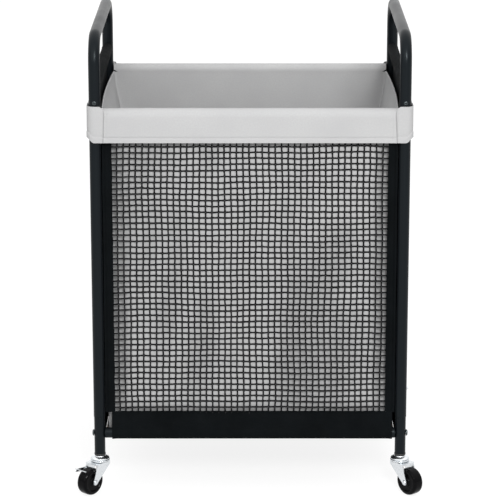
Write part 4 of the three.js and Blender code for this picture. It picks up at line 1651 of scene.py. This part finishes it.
@dataclass
class Casters:
    """The four swivel casters: sockets, stems with raceways, forks, rivets, wheels and brakes."""

    layout: Layout
    finishes: FinishBook
    heading: float = 50.0
    socket_bore: float = 4.4 * MM
    fork_rounding: float = 0.6 * MM
    lever_rounding: float = 0.3 * MM
    segments: int = 56

    def frame_of(self, side: Side, end: End) -> tuple[Point, float]:
        """A caster's place on the floor and its heading, in radians."""
        heading = math.radians(self.heading)
        turn = math.atan2(end.value * math.sin(heading), side.value * math.cos(heading))
        return (side.value * self.layout.leg_x, end.value * self.layout.leg_y, 0.0), turn

    def socket(self) -> MeshBuilder:
        """The plastic socket in the leg's foot, with a soft-edged flange."""
        low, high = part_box("caster_socket_front_left")
        flange = self.layout.foot_z - 0.3 * MM
        radius, plug = self.layout.tube_radius, self.layout.lower_leg_radius - 1.6 * MM
        bore = self.socket_bore
        profile = filleted(
            [(bore, low.z), (radius - 0.8 * MM, low.z), (radius, low.z + 1.4 * MM),
             (radius, flange), (plug, flange), (plug, high.z), (bore, high.z)], 0.7 * MM,
        )
        shape = MeshBuilder()
        shape.turned(profile, (0.0, 0.0, 0.0), Axis.Z, self.segments)
        return shape

    def stem(self) -> MeshBuilder:
        """The stem, its rivet under the fork, and the two cups of the raceway."""
        low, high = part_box("caster_stem_front_left")
        base = low.z
        outline = [
            (0, 0), (5.2, 0), (6.5, 0.9), (6.5, 3), (4, 3), (4, 5.6), (14.8, 5.6), (16, 6.6),
            (16, 8.1), (15, 8.5), (13.6, 8.6), (13.6, 9.3), (15, 9.5), (15.7, 10.1), (15.7, 10.9),
            (14.6, 12.0), (11.6, 13.2), (9, 13.8), (8.4, 14.9), (4, 14.9),
        ]
        profile = [(r * MM, base + z * MM) for r, z in outline]
        profile += [(4 * MM, high.z - 1 * MM), (3 * MM, high.z), (0.0, high.z)]
        shape = MeshBuilder()
        shape.turned(filleted(profile, 0.35 * MM, 3), (0.0, 0.0, 0.0), Axis.Z, self.segments)
        return shape

    def wheel(self) -> MeshBuilder:
        """The wheel, with a hub, a sunk web and a rounded tread."""
        half = [
            (3.2, 9.9), (6.4, 9.9), (7.2, 9.4), (7.8, 8.2), (14.4, 8.0), (15.3, 8.9), (16.1, 9.8),
            (18.6, 9.9), (20.5, 9.2), (21.8, 7.9), (22.4, 5.8), (22.5, 3.0),
        ]
        shape = MeshBuilder()
        shape.turned(filleted(both_sides(half), 0.5 * MM, 3), self.axle_place, Axis.Y, 72)
        return shape

    def axle(self) -> MeshBuilder:
        """The axle, riveted over at both ends."""
        half = [
            (0, 15.0), (1.9, 15.0), (2.3, 14.7), (2.9, 14.8), (3.6, 14.4), (3.9, 13.7),
            (3.9, 13.3), (2.8, 13.3),
        ]
        shape = MeshBuilder()
        shape.turned(both_sides(half), self.axle_place, Axis.Y, 32)
        return shape

    @property
    def axle_place(self) -> Point:
        """The axle's middle in a caster's own frame, where the wheel trails along X."""
        centre = middle("caster_wheel_front_right")
        trail = math.hypot(centre.x - self.layout.leg_x, centre.y + self.layout.leg_y)
        return (trail, 0.0, centre.z)

    def soften(self, node: str, body: str, width: float) -> None:
        """Rounds the edges of a pressed CAD part and gives it its finish.

        Args:
            node: The CAD node, which stays in view.
            body: The body it rides on, for the report.
            width: The rounding's width.
        """
        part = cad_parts[node]
        bevel = part.modifiers.new("rolled edges", "BEVEL")
        bevel.width, bevel.segments, bevel.limit_method = width, 3, "ANGLE"
        bevel.angle_limit, bevel.harden_normals = math.radians(30), False
        part.data.materials.clear()
        part.data.materials.append(self.finishes.bright_zinc)
        log.info("%s: CAD part with rolled edges, on %s", node, body)

    def build(self) -> None:
        """Builds and attaches the four casters."""
        book = self.finishes
        socket, stem, wheel, axle = self.socket(), self.stem(), self.wheel(), self.axle()
        for end in End:
            for side in Side:
                corner = f"{end.word}_{side.word}"
                place, turn = self.frame_of(side, end)
                for shape, node, body, slot, suffix in (
                    (socket, "caster_socket", "frame", "black_plastic", "moulding"),
                    (stem, "caster_stem", "frame", "bright_zinc", "turning"),
                    (wheel, "caster_wheel", f"wheel_{corner}", "wheel_plastic", "tyre"),
                    (axle, "caster_axle", f"caster_{corner}", "bright_zinc", "rivet"),
                ):
                    name = f"{node}_{corner}"
                    turned = shape.moved(place, turn)
                    piece = turned.make(f"{name}_{suffix}", getattr(book, slot), 60)
                    attach(piece, body, [name])
                self.soften(f"caster_fork_{corner}", f"caster_{corner}", self.fork_rounding)
                lever = f"brake_lever_{corner}"
                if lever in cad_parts:
                    self.soften(lever, f"lever_{corner}", self.lever_rounding)


# ---- Studio ----


@dataclass
class Studio:
    """The floor, the lights and the camera."""

    floor_colour: Colour = (0.14, 0.14, 0.14)
    floor_glow: float = 0.84
    camera_distance: float = 4.0
    camera_height: float = 1.459
    camera_pitch: float = 14.15
    lens: float = 174.2
    shift: float = -0.0985
    sensor: float = 36.0
    far: float = 200.0
    floor_reach: float = 40.0
    aim: Point = (0.0, 0.0, 0.4)

    def floor(self) -> None:
        """Lays a wide pale floor."""
        material = bpy.data.materials.new("pale_floor")
        material.use_nodes = True
        graph = Graph(material.node_tree)
        shader = material.node_tree.nodes["Principled BSDF"]
        graph.feed(shader, Base_Color=(*self.floor_colour, 1.0), Roughness=0.9)
        graph.feed(shader, Emission_Color=(1.0, 1.0, 1.0, 1.0), Emission_Strength=self.floor_glow)
        mesh = bpy.data.meshes.new("floor")
        reach = self.floor_reach
        mesh.from_pydata(
            [(-reach, -reach, 0), (reach, -reach, 0), (reach, reach, 0), (-reach, reach, 0)],
            [], [(0, 1, 2, 3)],
        )
        mesh.materials.append(material)
        floor = bpy.data.objects.new("floor", mesh)
        bpy.context.scene.collection.objects.link(floor)

    def light(self, name: str, place: Point, size: float, power: float) -> None:
        """Adds a square soft light that faces the object."""
        data = bpy.data.lights.new(name, "AREA")
        data.shape, data.size, data.energy = "SQUARE", size, power
        lamp = bpy.data.objects.new(name, data)
        lamp.location = place
        beam = Vector(self.aim) - Vector(place)
        lamp.rotation_euler = beam.to_track_quat("-Z", "Y").to_euler()
        bpy.context.scene.collection.objects.link(lamp)

    def sky(self) -> None:
        """A white surround, bright above and behind, dark low down in front."""
        world = bpy.data.worlds.new("surround")
        bpy.context.scene.world = world
        world.use_nodes = True
        tree = world.node_tree
        graph = Graph(tree)
        back = tree.nodes["Background"]
        direction = graph.add("TexCoord", "direction")
        split = graph.feed(graph.add("SeparateXYZ", "split"), Vector=direction.outputs["Generated"])
        above = graph.spread(split.outputs[2], 0.0, 0.8, 0.6, 1.5)
        behind = graph.spread(split.outputs[1], 0.5, 0.95, 0.5, 1.3)
        glow = graph.math("MAXIMUM", above, behind)
        path = graph.add("LightPath", "seen or not")
        seen = graph.add("Mix", "seen as white")
        graph.feed(seen, i0=path.outputs["Is Camera Ray"], i2=glow, i3=1.0)
        graph.feed(back, Color=(1.0, 1.0, 1.0, 1.0), Strength=seen.outputs[0])

    def camera(self) -> None:
        """Places the camera."""
        data = bpy.data.cameras.new("camera")
        data.lens, data.sensor_width, data.shift_y = self.lens, self.sensor, self.shift
        data.clip_end = self.far
        camera = bpy.data.objects.new("camera", data)
        camera.location = (0.0, -self.camera_distance, self.camera_height)
        camera.rotation_euler = (math.radians(90 - self.camera_pitch), 0.0, 0.0)
        bpy.context.scene.collection.objects.link(camera)
        bpy.context.scene.camera = camera

    def build(self) -> None:
        """Sets up the studio."""
        self.floor()
        self.sky()
        self.light("key", (0.6, -3.1, 2.1), 0.8, 88.0)
        self.light("fill", (-1.9, -2.6, 2.0), 2.4, 20.0)
        self.camera()
        bpy.context.scene.view_settings.view_transform = "Standard"


def main() -> None:
    """Builds the sorter, sub-assembly by sub-assembly, and sets up the studio."""
    layout, finishes = Layout(), FinishBook.made()
    TubeFrame(layout, finishes).build()
    Fasteners(finishes).build()
    MeshBag(layout, finishes).build()
    Liner(layout, finishes).build()
    Casters(layout, finishes).build()
    Studio().build()


if __name__ == "__main__":
    main()
